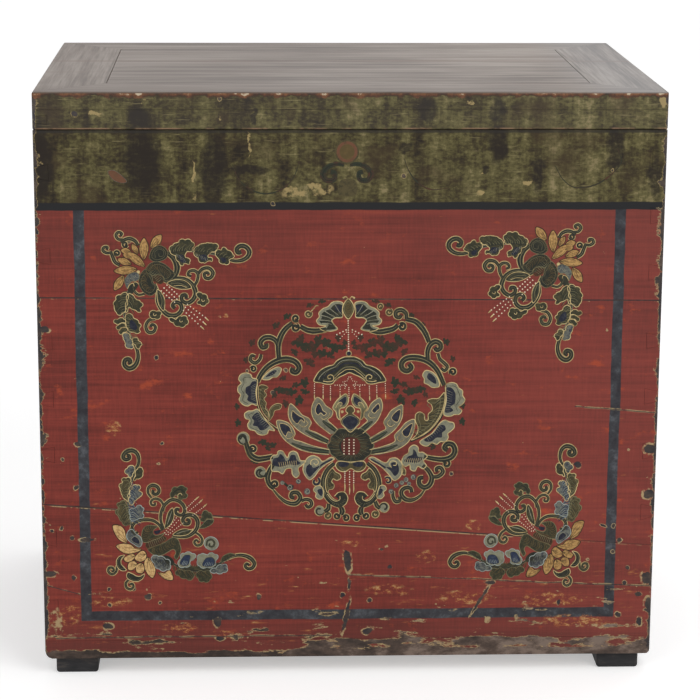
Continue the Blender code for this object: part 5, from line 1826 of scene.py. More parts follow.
@dataclass(frozen=True)
class UpperSpray(CornerSpray):
    """The spray of the two upper corners."""

    def draw(self, art: Drawing) -> None:
        """Draws it from the outside inwards."""
        self.tendrils(art)
        self.flower(art)
        self.long_branch(art)
        self.short_branch(art)
        self.scrolls(art)

    def petal(self, art: Drawing, tip: Point, base: Point, width: float) -> None:
        """Draws one gold petal.

        Args:
            art: The drawing.
            tip: Its point.
            base: Its other end.
            width: Its width.
        """
        start, end = Vector(tip), Vector(base)
        side = Vector((end.y - start.y, start.x - end.x)).normalized() * width / 2
        near, far = start.lerp(end, 0.36), start.lerp(end, 0.74)
        outline = [start, near + side, far + side * 0.8, end, far - side * 0.8, near - side]
        self.streaked(art, [tuple(spot) for spot in outline], tip, base)

    def tendrils(self, art: Drawing) -> None:
        """The two curled tendrils outside the flower."""
        art.stem([(138.6, 245), (135.6, 240.4), (130.4, 238), (125, 239), (121.4, 242)], 2.8)
        art.curl((125.4, 243.8), 4.0, 20)
        art.stem([(123.4, 239), (118.4, 238.2), (116.4, 234.4), (119, 231.4), (122.4, 233), (120.6, 235.4)], 2.4)
        art.stem([(119.8, 265), (115, 261.6), (112.8, 256.4), (110.8, 251)], 2.8)
        art.curl((117.2, 252.8), 4.0, 120)
        art.stem([(111.4, 251.8), (107, 252.4), (103.2, 250), (103.8, 247), (107.6, 246.6), (107, 249)], 2.4)

    def flower(self, art: Drawing) -> None:
        """The gold petals and the dark bulb behind them."""
        art.leaf([(150, 258), (151, 251.6), (154.6, 246.8), (160, 245), (165.4, 247.2), (168.4, 252), (167, 257.4),
                  (162, 260.4), (155, 261.4)], Paint.DARK, rim=0.6, edge=Paint.SAGE)
        art.line(Paint.SAGE, [(156, 257.4), (155.4, 251.6), (159.6, 248.6), (164, 250.6), (163.6, 255.4), (159.6, 256),
                              (159.4, 253)], 0.6)
        art.veins(Paint.STROKE, [(151.6, 260), (153.4, 251), (160, 246)], -5.0, 9, 0.6)
        art.veins(Paint.STROKE, [(167, 256), (165, 250), (160, 246)], 4.0, 7, 0.6)
        art.stem([(144.6, 294), (138, 294.8), (133.8, 291), (132.8, 286), (135.4, 283.4), (137.6, 285.4)], 2.0)
        horns = (
            ([(146, 270), (150, 263.5), (157, 261.4), (164, 263.4), (170, 268), (174.8, 274), (171.4, 279.6), (166, 280.6),
              (163, 276.4), (159, 274.6), (152, 275)], [(148, 269), (156, 265.6), (164, 268.6), (170, 275)]),
            ([(146, 269), (141, 273.6), (138.6, 281), (140.4, 288.4), (145, 293.8), (151, 295.8), (156, 291.8), (157, 286.4),
              (153.4, 283), (152, 277)], [(146, 272), (143, 280), (145.4, 288), (150.6, 292)]),
        )
        for outline, rib in horns:
            art.leaf(outline, Paint.DARK, rim=0.7, edge=Paint.SAGE)
            for reach in (4.6, -4.6):
                art.veins(Paint.STROKE, rib, reach, 15, 0.8)
        art.leaf([(147, 267), (152.4, 264.6), (159.4, 271.6), (164, 281), (161, 284), (153, 280.6), (147, 273.6)],
                 Paint.UMBER, rim=0.5, edge=Paint.STROKE)
        art.hatch(Paint.SAGE, ((150, 273.6), (155.4, 267.8)), ((157.6, 282), (162.4, 278.6)), 7, 0.6)
        art.stem([(168, 252.4), (174.6, 258.6), (177.6, 267), (175.4, 275.4), (168.6, 281)], 4.0, (0.8, 1.1, 0.6))
        art.leaf([(124.4, 281), (127, 275.6), (132, 272.4), (138, 272.8), (139.4, 278), (136, 281), (131.6, 281.4),
                  (128.6, 285), (127.4, 289)], Paint.SLATE, rim=0.7, edge=Paint.SAGE)
        art.veins(Paint.MIST, [(126.6, 284), (130, 278), (137, 275)], 3.0, 7, 0.5)
        art.fill(Paint.DARK, [(127.4, 290), (130, 284.4), (134.4, 282.4), (138, 284.6), (135.4, 290), (129.6, 295)])
        art.line(Paint.LINE, [(127, 289), (129.6, 284.6), (133, 283.2), (134, 286.4)], 0.8)
        petals = (((161.8, 234.4), (151.6, 247), 7.6), ((144.6, 237.6), (144, 259), 8.4),
                  ((128, 252), (144.6, 266), 7.4), ((114.2, 270.8), (136.6, 269), 7.8),
                  ((114, 290), (123.4, 275.6), 7.4), ((118, 258.6), (131, 263.8), 6.2),
                  ((132.6, 243.8), (138, 253), 5.0), ((121.4, 249.6), (131, 251.4), 5.6),
                  ((123.6, 254), (132, 257), 4.6))
        for tip, base, width in petals:
            self.petal(art, tip, base, width)
        art.bulb((138.2, 272), 1.9, Paint.LINE, False)

    def long_branch(self, art: Drawing) -> None:
        """Three lobed leaves and an end curl along the top."""
        art.leaf([(170.2, 250.8), (170.8, 247.1), (173.9, 243.9), (178.1, 242.4), (180, 240), (185, 238.8), (191.6, 239.8),
                  (194.4, 243), (194.2, 247.6), (192.4, 250), (186.4, 252.4), (185.2, 255), (187.6, 257.4), (190.8, 260.4),
                  (190, 263.6), (186.4, 263), (183.4, 265.2), (180.2, 263.6), (178.1, 260.3), (175.6, 255.6)],
                 Paint.LEAF, rim=0.8, lobed=True)
        art.leaf([(194.4, 251), (196.6, 247.6), (199.6, 244.6), (204, 243.6), (207, 242.2), (210.6, 243.2), (214, 242.6),
                  (217.6, 243.9), (219.6, 246.8), (216.4, 250.4), (209, 254), (208.6, 256), (212.4, 258), (212.4, 261.4),
                  (208.4, 260.6), (205, 263), (201.3, 261.8), (198.7, 258.4), (196, 255)], Paint.LEAF, rim=0.8, lobed=True)
        art.leaf([(216, 253), (218.6, 249.6), (221.6, 249.4), (224.4, 247.4), (229, 249.4), (232.9, 252.7), (235.5, 255.5),
                  (231, 259.4), (229.9, 262.9), (226.5, 264.6), (222.9, 263.2), (220.2, 261.3), (219.2, 257.6)],
                 Paint.LEAF, rim=0.8, lobed=True)
        rib = [(168.6, 252.4), (179.2, 251), (189.6, 250.4), (198, 251), (208.6, 252.6), (219, 254.6), (231, 259.6)]
        art.veins(Paint.DARK, rib[:4], -8.0, 15, 0.8)
        art.veins(Paint.SAGE, rib[:4], -7.4, 13, 0.5)
        art.veins(Paint.DARK, rib[3:], -6.0, 14, 0.8)
        art.veins(Paint.SAGE, rib[3:], -5.4, 12, 0.5)
        for outline in ([(178.4, 255.4), (183, 254.4), (185, 258.4), (187, 261), (182.6, 262.4)],
                        [(199.6, 255.6), (206.4, 254.4), (208.4, 258.6), (203.6, 260.6)],
                        [(221.6, 257.4), (227, 258.6), (227, 262), (223.6, 262)]):
            art.fill(Paint.NAVY, outline)
        art.veins(Paint.MIST, [(176, 253), (181, 255), (188, 261.6)], 3.4, 8, 0.55)
        art.veins(Paint.MIST, [(196, 253), (202, 255), (210, 259)], 3.4, 8, 0.55)
        art.line(Paint.PALE, rib, 2.9)
        art.line(Paint.DARK, rib, 1.8)
        art.stem([(229.6, 259.6), (238, 260.9), (245.4, 259.2), (250, 255), (250.4, 250.3), (246.5, 246.2), (241.3, 245.8),
                  (238, 249), (239.2, 252.4), (242.6, 251.6)], 3.2, (0.6, 1.1, 1.0))

    def short_branch(self, art: Drawing) -> None:
        """Three lobed leaves and an end curl down the side."""
        art.leaf([(127, 293.4), (120.3, 294.3), (115.5, 297.4), (114.6, 301), (112.7, 305), (114.2, 309.2), (115.3, 313.4),
                  (119.2, 315.2), (123.4, 312.3)], Paint.LEAF, rim=0.8, lobed=True)
        art.leaf([(128, 293.6), (131, 295), (134.5, 297.4), (136, 300.4), (140.2, 301.6), (142, 305), (140.2, 308.3),
                  (139.9, 312), (136, 311.8), (132.9, 309.5), (128.7, 308.1), (125.4, 312.3)], Paint.LEAF, rim=0.8, lobed=True)
        art.leaf([(126.4, 314), (131.8, 316.4), (133.9, 319.5), (137.6, 322.1), (139.9, 326), (138.5, 328.7),
                  (139.4, 332.3), (135.5, 334.1), (131.8, 332.9), (127, 330.4), (124.6, 322)], Paint.LEAF, rim=0.8, lobed=True)
        art.fill(Paint.NAVY, [(130, 320.4), (134.6, 324), (136.4, 329.4), (133, 331), (128.6, 327.4)])
        for outline in ([(123.4, 319.4), (117, 319.4), (113.6, 321), (113.4, 324), (117.6, 324.4), (124, 322.6)],
                        [(124.2, 323.6), (118.4, 325.2), (115.2, 327.2), (116.8, 330), (120.6, 328.6), (124.8, 327)],
                        [(125, 327.8), (121, 329.4), (117.4, 332), (119.6, 334.8), (123, 333.4), (125.8, 331)]):
            art.leaf(outline, Paint.LEAF, rim=0.7, lobed=True)
        art.leaf([(125.4, 333.4), (121.3, 337), (122.4, 340), (123.7, 341.5), (124, 346), (127.6, 349.9), (131.5, 348.6),
                  (130, 340)], Paint.SLATE, rim=0.8, lobed=True)
        art.leaf([(131.3, 339.5), (136, 339.3), (138.3, 342.3), (140.4, 346), (137.8, 349.6), (134.6, 347.4)],
                 Paint.LEAF, rim=0.8, lobed=True)
        rib = [(128, 291), (124.2, 304), (123.6, 316.4), (125.6, 328), (129.8, 338.6), (134.6, 347)]
        art.veins(Paint.DARK, rib[:3], 8.0, 11, 0.9)
        art.veins(Paint.SAGE, rib[:3], 7.0, 10, 0.5)
        art.veins(Paint.DARK, rib[:3], -11.0, 11, 0.9)
        art.veins(Paint.SAGE, rib[:3], -10.0, 10, 0.5)
        art.veins(Paint.SAGE, rib[2:], -8.0, 15, 0.6)
        art.veins(Paint.SAGE, rib[3:], 4.6, 8, 0.6)
        art.line(Paint.PALE, rib, 2.9)
        art.line(Paint.DARK, rib, 1.8)
        art.stem([(133.6, 345), (136.6, 354), (136.4, 361.6), (132.8, 368), (127.4, 370.2), (123, 366.8),
                  (123.6, 361.8), (127.6, 360.8), (129, 363.6), (126.6, 364.6)], 3.2, (0.6, 1.1, 1.0))

    def scrolls(self, art: Drawing) -> None:
        """Scroll bands, commas and pearl stamens inside the corner."""
        art.leaf([(167.6, 283), (177, 279.6), (186.4, 281.4), (192, 287.8), (184, 289.6), (175, 288)], Paint.DARK, rim=0.8)
        art.line(Paint.SAGE, [(171, 283.6), (180, 283.4), (188, 287)], 1.2)
        art.line(Paint.LINE, [(174, 286), (181, 285.6), (187, 287.6)], 0.6)
        art.leaf([(157.4, 289.6), (161.6, 293), (164.6, 300), (163.4, 311.4), (159, 306), (157, 298)], Paint.DARK, rim=0.8)
        art.line(Paint.SAGE, [(159.4, 293), (161.8, 300), (161.4, 307)], 1.4)
        art.stem([(160, 277.4), (168, 281.6), (177, 278.4), (187, 280), (194, 286.6), (196, 294), (193, 300.4),
                  (187, 303.6), (182.2, 300.6), (182.4, 296), (186.2, 295.6), (186.4, 298.6)], 3.4, (0.6, 1.0, 0.8))
        art.stem([(154.6, 284), (157.4, 292.4), (157.6, 302), (162.4, 311), (169, 316), (177, 315.6), (181.8, 309.6),
                  (180, 304), (175.4, 302.8), (172.6, 306.2), (175, 309)], 3.4, (0.6, 1.0, 0.8))
        art.stem([(194.4, 287), (198, 280), (198.4, 273.6), (195, 270.6), (190, 271.4), (188.6, 275), (191.8, 276.2)], 2.4)
        art.stem([(198.6, 274), (203.4, 268.8), (210, 268.2), (213.8, 273), (211, 278), (206.4, 278), (205, 274),
                  (208.4, 272.6), (209.4, 274.6)], 2.8)
        commas = (
            ([(196.6, 293.6), (203, 293.6), (207.6, 297), (209, 301.6), (206.4, 305.6), (201.6, 306), (198, 303.6),
              (199.6, 299.4)], (203.6, 300.6)),
            ([(168.4, 318.6), (176, 319.6), (181, 316.6), (186.6, 318), (188, 321.4), (186.4, 326), (180.4, 328),
              (174.4, 325.4)], (181, 321.6)),
            ([(148.6, 314), (153.4, 311.4), (160.6, 313), (160, 318), (153, 319.6)], (154.4, 315)),
        )
        for outline, eye in commas:
            art.leaf(outline, Paint.LEAF, rim=0.8, lobed=True)
            art.line(Paint.DARK, [(outline[0][0] + 1, outline[0][1] + 1), eye, (eye[0] + 1.6, eye[1] + 2)], 2.2)
            art.line(Paint.LINE, ring(eye, 1.4, 8)[:6], 0.7)
        art.stem([(155, 319.4), (148.6, 321), (145.2, 327), (147.6, 333), (153, 332.6), (154.8, 327.4), (151.4, 325.4),
                  (149.8, 328)], 2.6)
        for shift in (-3.0, 0.0, 3.0):
            art.beads((164.2 + shift, 288.2 - shift), (177 + shift * 0.8, 299.6 - shift), 6, 0.8)
            end = (203.4 + shift * 0.8, 323 - shift * 1.5)
            art.beads((185.6 + shift * 0.7, 308 - shift), end, 7, 0.75)
            spread = (end[0] + 3.4, end[1] + 3.2)
            art.line(Paint.LINE, [end, ((end[0] + spread[0]) / 2, (end[1] + spread[1]) / 2), spread], 1.5, (0.6, 1.0, 0.3))


@dataclass(frozen=True)
class LowerSpray(CornerSpray):
    """The spray of the two lower corners, drawn on a fine grid of its own."""

    corner: Point = (100.0, 435.0)
    grid: float = 9.5

    def at(self, *marks: Tuple[int, int]) -> List[Point]:
        """Sheet points of marks on the spray's grid."""
        return [(self.corner[0] + across / self.grid, self.corner[1] + down / self.grid) for across, down in marks]

    def draw(self, art: Drawing) -> None:
        """Draws it from the outside inwards."""
        self.tendrils(art)
        self.flower(art)
        self.standing_branch(art)
        self.lying_branch(art)
        self.scrolls(art)
        self.stamens(art)

    def tendrils(self, art: Drawing) -> None:
        """The two crescents and curls outside the flower."""
        art.leaf(self.at((225, 1140), (175, 1150), (145, 1190), (150, 1250), (195, 1290), (238, 1284), (212, 1252), (192, 1228),
                         (188, 1190), (206, 1160)), Paint.DARK, rim=0.8)
        art.stem(self.at((150, 1240), (138, 1300), (100, 1322), (66, 1296), (72, 1262), (108, 1262), (118, 1288), (98, 1296)), 2.0)
        art.leaf(self.at((252, 1306), (240, 1350), (280, 1385), (350, 1394), (400, 1360), (412, 1322), (370, 1345), (330, 1340),
                         (300, 1322)), Paint.DARK, rim=0.8)
        art.stem(self.at((262, 1376), (232, 1410), (238, 1452), (276, 1470), (304, 1444), (292, 1416), (266, 1424)), 2.0)

    def flower(self, art: Drawing) -> None:
        """Gold petals, blue sepals, and the horned bulb with its hatched cone."""
        art.leaf(self.at((244, 960), (270, 900), (302, 892), (332, 930), (382, 970), (392, 1030), (368, 1062), (310, 1032),
                         (268, 1002)), Paint.SLATE, self.at((290, 990), (320, 960), (360, 985), (370, 1030), (330, 1025)),
                 rim=0.9, edge=Paint.FOAM)
        art.leaf(self.at((480, 1160), (540, 1148), (600, 1168), (652, 1200), (662, 1250), (640, 1282), (580, 1290), (530, 1262),
                         (500, 1210)), Paint.SLATE, rim=0.9, edge=Paint.FOAM, lobed=True)
        art.veins(Paint.DARK, self.at((500, 1175), (560, 1185), (620, 1205), (655, 1235)), 6.0, 12, 0.9)
        art.fill(Paint.DARK, self.at((590, 1150), (640, 1150), (690, 1190), (700, 1232), (650, 1240), (610, 1200)))
        petals = (
            (self.at((118, 856), (190, 860), (225, 900), (236, 960), (246, 1016), (190, 1000), (146, 946)), 0, 4),
            (self.at((148, 1050), (210, 1030), (280, 1040), (330, 1078), (384, 1084), (320, 1116), (250, 1124), (190, 1100)), 0, 4),
            (self.at((218, 1172), (300, 1130), (322, 1150), (290, 1192), (236, 1202)), 0, 2),
            (self.at((322, 1172), (360, 1120), (402, 1100), (430, 1130), (420, 1180), (370, 1202)), 0, 3),
            (self.at((254, 1252), (270, 1210), (320, 1202), (340, 1232), (300, 1280), (262, 1280)), 0, 3),
            (self.at((336, 1300), (342, 1236), (388, 1222), (410, 1270), (390, 1312)), 0, 2),
            (self.at((490, 1358), (450, 1330), (416, 1260), (420, 1190), (450, 1168), (490, 1220), (516, 1284)), 0, 4),
            (self.at((682, 1378), (620, 1375), (575, 1346), (544, 1308), (600, 1320), (650, 1290), (676, 1330)), 0, 3),
        )
        for outline, tip, base in petals:
            self.streaked(art, outline, outline[tip], outline[base])
        art.stem(self.at((590, 905), (560, 850), (500, 808), (420, 800), (350, 815), (308, 850), (296, 900), (330, 934),
                         (352, 916)), 2.4)
        lobes = (
            (self.at((396, 1010), (390, 950), (405, 890), (440, 858), (500, 856), (545, 866), (504, 900), (500, 930),
                     (522, 950), (566, 944), (608, 930), (560, 975), (500, 995), (450, 1016)),
             self.at((420, 1000), (425, 940), (450, 890), (500, 870))),
            (self.at((448, 1084), (500, 1060), (560, 1040), (620, 1014), (660, 985), (700, 970), (736, 990), (756, 1040),
                     (766, 1090), (750, 1140), (722, 1184), (700, 1160), (716, 1116), (694, 1086), (640, 1112), (590, 1140),
                     (540, 1146), (490, 1130)), self.at((480, 1100), (560, 1090), (640, 1060), (710, 1010))),
        )
        for outline, rib in lobes:
            art.leaf(outline, Paint.LEAF, rim=0.8, edge=Paint.SAGE)
            for reach in (4.2, -4.2):
                art.veins(Paint.DARK, rib, reach, 14, 0.9)
                art.veins(Paint.STROKE, rib, reach, 11, 0.7)
        art.leaf(self.at((428, 1046), (450, 1004), (500, 980), (560, 968), (604, 958), (628, 985), (600, 1012), (560, 1040),
                         (500, 1060), (450, 1082)), Paint.UMBER, rim=0.6, edge=Paint.STROKE)
        start, end = self.at((450, 1010), (470, 1072)), self.at((592, 964), (612, 1000))
        art.hatch(Paint.SAGE, (start[0], start[1]), (end[0], end[1]), 9, 0.6)
        art.fill(Paint.NAVY, self.at((510, 912), (540, 904), (576, 900), (560, 930), (524, 938)))

    def standing_branch(self, art: Drawing) -> None:
        """Three pairs of leaves and an end curl up the side."""
        leaves = (
            (self.at((330, 284), (290, 284), (256, 304), (244, 340), (262, 366), (286, 386), (312, 370), (326, 330)), Paint.SLATE,
             Paint.LINE),
            (self.at((355, 310), (390, 300), (416, 320), (404, 350), (411, 380), (380, 396), (346, 414), (330, 420), (335, 380),
                     (345, 340)), Paint.LEAF, Paint.LINE),
            (self.at((300, 430), (276, 396), (240, 394), (214, 410), (210, 440), (190, 462), (187, 500), (206, 530), (204, 560),
                     (234, 592), (256, 622), (266, 560), (285, 480)), Paint.MOSS, Paint.LINE),
            (self.at((300, 500), (330, 466), (366, 464), (381, 490), (374, 516), (396, 546), (385, 580), (355, 590), (330, 622),
                     (295, 652), (274, 640), (280, 580), (290, 530)), Paint.SLATE, Paint.LINE),
            (self.at((250, 640), (225, 620), (190, 625), (164, 646), (171, 680), (149, 712), (155, 750), (180, 776), (194, 812),
                     (226, 846), (265, 852), (281, 840), (270, 760), (262, 690)), Paint.MOSS, Paint.SAGE),
            (self.at((285, 690), (320, 700), (346, 670), (390, 668), (411, 690), (400, 720), (411, 750), (395, 782), (350, 790),
                     (310, 812), (290, 790), (280, 740)), Paint.SLATE, Paint.FOAM),
        )
        for outline, body, edge in leaves:
            art.leaf(outline, body, rim=0.85, edge=edge, lobed=True)
        rib = self.at((352, 288), (325, 370), (300, 440), (276, 540), (265, 640), (275, 740), (290, 830), (322, 920))
        art.veins(Paint.DARK, rib[:3], 5.4, 9, 0.7)
        art.veins(Paint.DARK, rib[:3], -4.6, 7, 0.7)
        art.veins(Paint.DARK, rib[2:5], 7.0, 9, 0.9)
        art.veins(Paint.BLUE, rib[2:5], -8.0, 10, 1.1)
        art.veins(Paint.FOAM, rib[2:5], -9.0, 9, 0.4)
        art.veins(Paint.SAGE, rib[2:5], 7.4, 8, 0.5)
        art.veins(Paint.DARK, rib[4:7], 8.4, 9, 0.9)
        art.veins(Paint.BLUE, rib[4:7], -10.0, 9, 1.2)
        art.veins(Paint.FOAM, rib[4:7], -10.0, 8, 0.4)
        art.veins(Paint.SAGE, rib[4:7], 8.4, 8, 0.5)
        art.line(Paint.PALE, rib, 2.6)
        art.line(Paint.DARK, rib, 1.5)
        art.stem(self.at((346, 310), (370, 262), (374, 210), (358, 164), (322, 136), (276, 138), (238, 164), (226, 200),
                         (250, 220), (284, 208), (282, 182), (260, 184)), 2.9, (0.6, 1.15, 0.9))

    def lying_branch(self, art: Drawing) -> None:
        """Blue and olive leaves and an end curl along the foot."""
        leaves = (
            (self.at((735, 1240), (756, 1184), (770, 1140), (810, 1120), (870, 1124), (902, 1150), (890, 1186), (856, 1192),
                     (850, 1236), (800, 1262)),
             self.at((756, 1226), (780, 1172), (806, 1146), (852, 1150), (846, 1192), (830, 1236), (790, 1246))),
            (self.at((944, 1256), (920, 1200), (934, 1150), (962, 1130), (1000, 1142), (1060, 1128), (1112, 1150),
                     (1112, 1186), (1092, 1210), (1090, 1246), (1020, 1266)),
             self.at((972, 1244), (990, 1196), (1016, 1172), (1070, 1172), (1088, 1200), (1078, 1240), (1030, 1254))),
        )
        base = self.at((716, 1240), (760, 1232), (830, 1228), (884, 1254), (930, 1246), (1000, 1238), (1090, 1226),
                       (1130, 1222), (1090, 1264), (1010, 1292), (920, 1298), (830, 1288), (760, 1268))
        art.fill(Paint.LEAF, base)
        for outline, core in leaves:
            art.leaf(outline, Paint.PALE, rim=0.8, edge=Paint.FOAM, lobed=True)
            art.fill(Paint.BLUE, core)
            art.line(Paint.DARK, core, 0.8, closed=True)
        art.hatch(Paint.FOAM, self.pair((772, 1238), (792, 1196)), self.pair((818, 1236), (828, 1200)), 4, 0.6)
        art.hatch(Paint.FOAM, self.pair((992, 1248), (1008, 1214)), self.pair((1066, 1244), (1072, 1212)), 5, 0.6)
        art.hatch(Paint.SAGE, self.pair((740, 1252), (752, 1236)), self.pair((1080, 1256), (1100, 1232)), 16, 0.5)
        art.leaf(self.at((1150, 1212), (1164, 1164), (1200, 1140), (1240, 1128), (1292, 1146), (1240, 1176), (1195, 1202)),
                 Paint.LEAF, rim=0.7, edge=Paint.SAGE)
        art.leaf(self.at((1040, 1300), (1090, 1270), (1150, 1240), (1196, 1244), (1212, 1276), (1190, 1310), (1130, 1322),
                         (1080, 1316)), Paint.SLATE, rim=0.8, edge=Paint.FOAM, lobed=True)
        art.leaf(self.at((722, 1288), (714, 1320), (746, 1350), (790, 1368), (840, 1382), (882, 1370), (880, 1320), (860, 1298),
                         (800, 1296)), Paint.LEAF, rim=0.6, edge=Paint.SAGE, lobed=True)
        art.leaf(self.at((920, 1308), (914, 1350), (940, 1390), (990, 1406), (1040, 1390), (1056, 1350), (1040, 1308), (990, 1302)),
                 Paint.LEAF, rim=0.6, edge=Paint.SAGE, lobed=True)
        rib = self.at((690, 1225), (760, 1268), (830, 1288), (920, 1298), (1010, 1292), (1090, 1264), (1150, 1220), (1230, 1176))
        art.veins(Paint.DARK, rib[:5], 7.0, 18, 0.9)
        art.veins(Paint.STROKE, rib[:5], 7.4, 17, 0.6)
        art.veins(Paint.DARK, rib[4:], 4.4, 9, 0.7)
        art.veins(Paint.DARK, rib[4:], -4.4, 9, 0.7)
        art.line(Paint.PALE, rib, 2.8)
        art.line(Paint.DARK, rib, 1.9)
        art.stem(self.at((1200, 1192), (1250, 1166), (1320, 1148), (1390, 1158), (1446, 1190), (1470, 1234), (1450, 1272),
                         (1408, 1280), (1382, 1254), (1398, 1232), (1422, 1246)), 2.6, (0.5, 1.2, 0.8))

    def pair(self, first: Tuple[int, int], last: Tuple[int, int]) -> Tuple[Point, Point]:
        """Sheet points of a stroke's two ends."""
        ends = self.at(first, last)
        return ends[0], ends[1]

    def scrolls(self, art: Drawing) -> None:
        """Two scroll bands with slender leaves, and the commas and curls round them."""
        art.leaf(self.at((614, 884), (626, 800), (650, 724), (688, 688), (704, 744), (690, 812), (652, 864)), Paint.LEAF,
                 rim=0.7, edge=Paint.LINE)
        art.line(Paint.MIST, self.at((636, 846), (662, 776), (682, 716)), 1.0, (0.4, 1.0, 0.5))
        art.leaf(self.at((690, 946), (740, 906), (800, 888), (866, 898), (884, 890), (840, 940), (780, 956)), Paint.LEAF, rim=0.7,
                 edge=Paint.LINE)
        art.line(Paint.MIST, self.at((724, 938), (784, 916), (846, 906)), 1.0, (0.4, 1.0, 0.5))
        art.stem(self.at((604, 896), (574, 800), (584, 716), (622, 650), (682, 610), (744, 620), (792, 664), (806, 712),
                         (788, 752), (748, 756), (718, 730), (726, 700), (754, 706)), 2.6, (0.7, 1.0, 0.9))
        art.stem(self.at((684, 952), (744, 966), (812, 966), (872, 940), (916, 892), (930, 830), (908, 780), (860, 756),
                         (812, 766), (786, 802), (802, 838), (842, 838), (846, 808), (822, 800)), 2.8, (0.6, 1.1, 0.9))
        art.stem(self.at((600, 720), (604, 664), (570, 612), (520, 598), (484, 624), (490, 656), (522, 656), (520, 634)), 1.9)
        art.stem(self.at((490, 590), (458, 540), (464, 490), (506, 468), (552, 490), (560, 532), (532, 556), (502, 540),
                         (510, 514)), 2.4, (0.6, 1.1, 1.0))
        art.leaf(self.at((682, 596), (674, 545), (695, 500), (740, 484), (800, 480), (827, 505), (814, 530), (831, 562),
                         (810, 596), (770, 606), (742, 588), (718, 560)), Paint.LEAF, rim=0.8, edge=Paint.SAGE, lobed=True)
        art.line(Paint.LINE, self.at((742, 588), (744, 558), (770, 548), (782, 566)), 0.7)
        art.line(Paint.DARK, self.at((690, 580), (712, 530), (760, 510), (800, 530)), 1.8, (0.6, 1.0, 0.6))
        art.leaf(self.at((948, 804), (976, 780), (968, 745), (1000, 719), (1046, 734), (1066, 774), (1082, 800), (1030, 794),
                         (990, 816)), Paint.LEAF, rim=0.7, edge=Paint.SAGE, lobed=True)
        art.leaf(self.at((944, 882), (984, 840), (1022, 802), (1082, 800), (1070, 840), (1020, 872), (980, 886)), Paint.LEAF,
                 rim=0.7, edge=Paint.SAGE)
        art.line(Paint.DARK, self.at((960, 862), (1010, 820), (1050, 806)), 2.0, (0.5, 1.0, 0.5))
        art.stem(self.at((908, 926), (950, 958), (972, 1004), (956, 1042), (918, 1050), (894, 1020), (914, 998), (934, 1016)), 2.0)
        art.leaf(self.at((988, 1040), (1000, 992), (1050, 968), (1104, 990), (1126, 1044), (1096, 1088), (1046, 1096), (1006, 1072)),
                 Paint.PALE, rim=0.8, edge=Paint.FOAM)
        art.stem(self.at((1012, 1056), (1020, 1010), (1062, 996), (1088, 1030), (1068, 1064), (1036, 1052), (1046, 1032)), 1.7)

    def stamens(self, art: Drawing) -> None:
        """Three rows of pearls that pass between the scrolls."""
        rows = (((612, 926), (724, 784), (818, 698), (904, 612), (944, 580)), ((624, 942), (764, 786), (836, 728), (944, 640), (980, 606)),
                ((646, 944), (786, 836), (884, 758), (984, 682), (1020, 650)))
        for row in rows:
            root, gap, far, neck, tip = self.at(*row)
            art.beads(root, gap, 8, 0.6)
            art.beads(far, neck, 7, 0.55)
            art.line(Paint.LINE, [neck, ((neck[0] + tip[0]) / 2, (neck[1] + tip[1]) / 2), tip], 1.6, (0.5, 1.0, 0.3))


@dataclass(frozen=True)
class BandMotif:
    """The brown boss, its scroll leaves and the faint arcs on the green band."""

    boss: Point = (345.0, 153.0)
    boss_radius: float = 12.0
    scroll: Tuple[Point, ...] = ((3.0, 13.0), (10.0, 12.0), (19.0, 15.0), (24.0, 22.0), (20.0, 28.0), (13.0, 27.0),
                                 (12.0, 21.0), (16.0, 19.6))
    rub: Tuple[Point, ...] = ((109, 172), (114, 171), (122, 176), (127, 182), (122, 183), (114, 180))
    arcs: Tuple[Tuple[Point, ...], ...] = (
        ((232, 166), (238, 180), (250, 190), (264, 194), (280, 190), (292, 178), (298, 162)),
        ((402, 160), (405, 169), (414, 182), (428, 190), (445, 189)),
        ((552, 167), (560, 180), (571, 188), (592, 186), (609, 175), (618, 163), (614, 150)),
    )

    def build(self, finishes: Dict[Paint, bpy.types.Material]) -> None:
        """Draws and makes it.

        Args:
            finishes: Material of each colour.
        """
        column, row = self.boss
        art = Drawing("band_boss", Body.CASE, (lambda point: point,))
        art.fill(Paint.MOSS, ring(self.boss, self.boss_radius, 28))
        art.fill(Paint.BRONZE, ring(self.boss, self.boss_radius * 0.86, 28))
        art.fill(Paint.STROKE, ring(self.boss, self.boss_radius * 0.62, 24))
        for side in (-1, 1):
            points = [(column + side * across, row + down) for across, down in self.scroll]
            art.line(Paint.SMOKE, points, 7.0, (0.6, 1.0, 0.8))
            art.line(Paint.DARK, points, 1.6, (0.4, 1.0, 0.5))
        art.fill(Paint.MOSS, [(column - 6, row + 28), (column + 8, row + 28), (column + 9, row + 42), (column - 8, row + 42)])
        art.fill(Paint.BRONZE, self.rub)
        art.line(Paint.SLATE, self.rub, 0.8, closed=True)
        for arc in self.arcs:
            art.line(Paint.SMOKE, arc, 1.8, (0.4, 1.0, 0.4))
        art.build(finishes)


def nail_master(radius: float, height: float) -> bpy.types.Object:
    """Models one forged nail head, domed and a little faceted, at the origin and facing the rear.

    Args:
        radius: Radius of the head.
        height: Height of its dome.

    Returns:
        The nail head.
    """
    bpy.ops.object.select_all(action="DESELECT")
    bpy.ops.mesh.primitive_cylinder_add(vertices=12, radius=radius, depth=height, location=(0, 0, 0))
    nail = bpy.context.active_object
    bpy.ops.object.mode_set(mode="EDIT")
    form = bmesh.from_edit_mesh(nail.data)
    for face in form.faces:
        face.select_set(face.normal.z > 0.9)
    bmesh.update_edit_mesh(nail.data)
    bpy.ops.mesh.inset(thickness=radius * 0.35, depth=height * 0.45)
    bpy.ops.mesh.inset(thickness=radius * 0.30, depth=height * 0.18)
    bpy.ops.object.mode_set(mode="OBJECT")
    nail.data.transform(Matrix.Rotation(-math.pi / 2, 4, "X"))
    bpy.ops.object.shade_smooth_by_angle(angle=math.radians(40.0))
    return nail


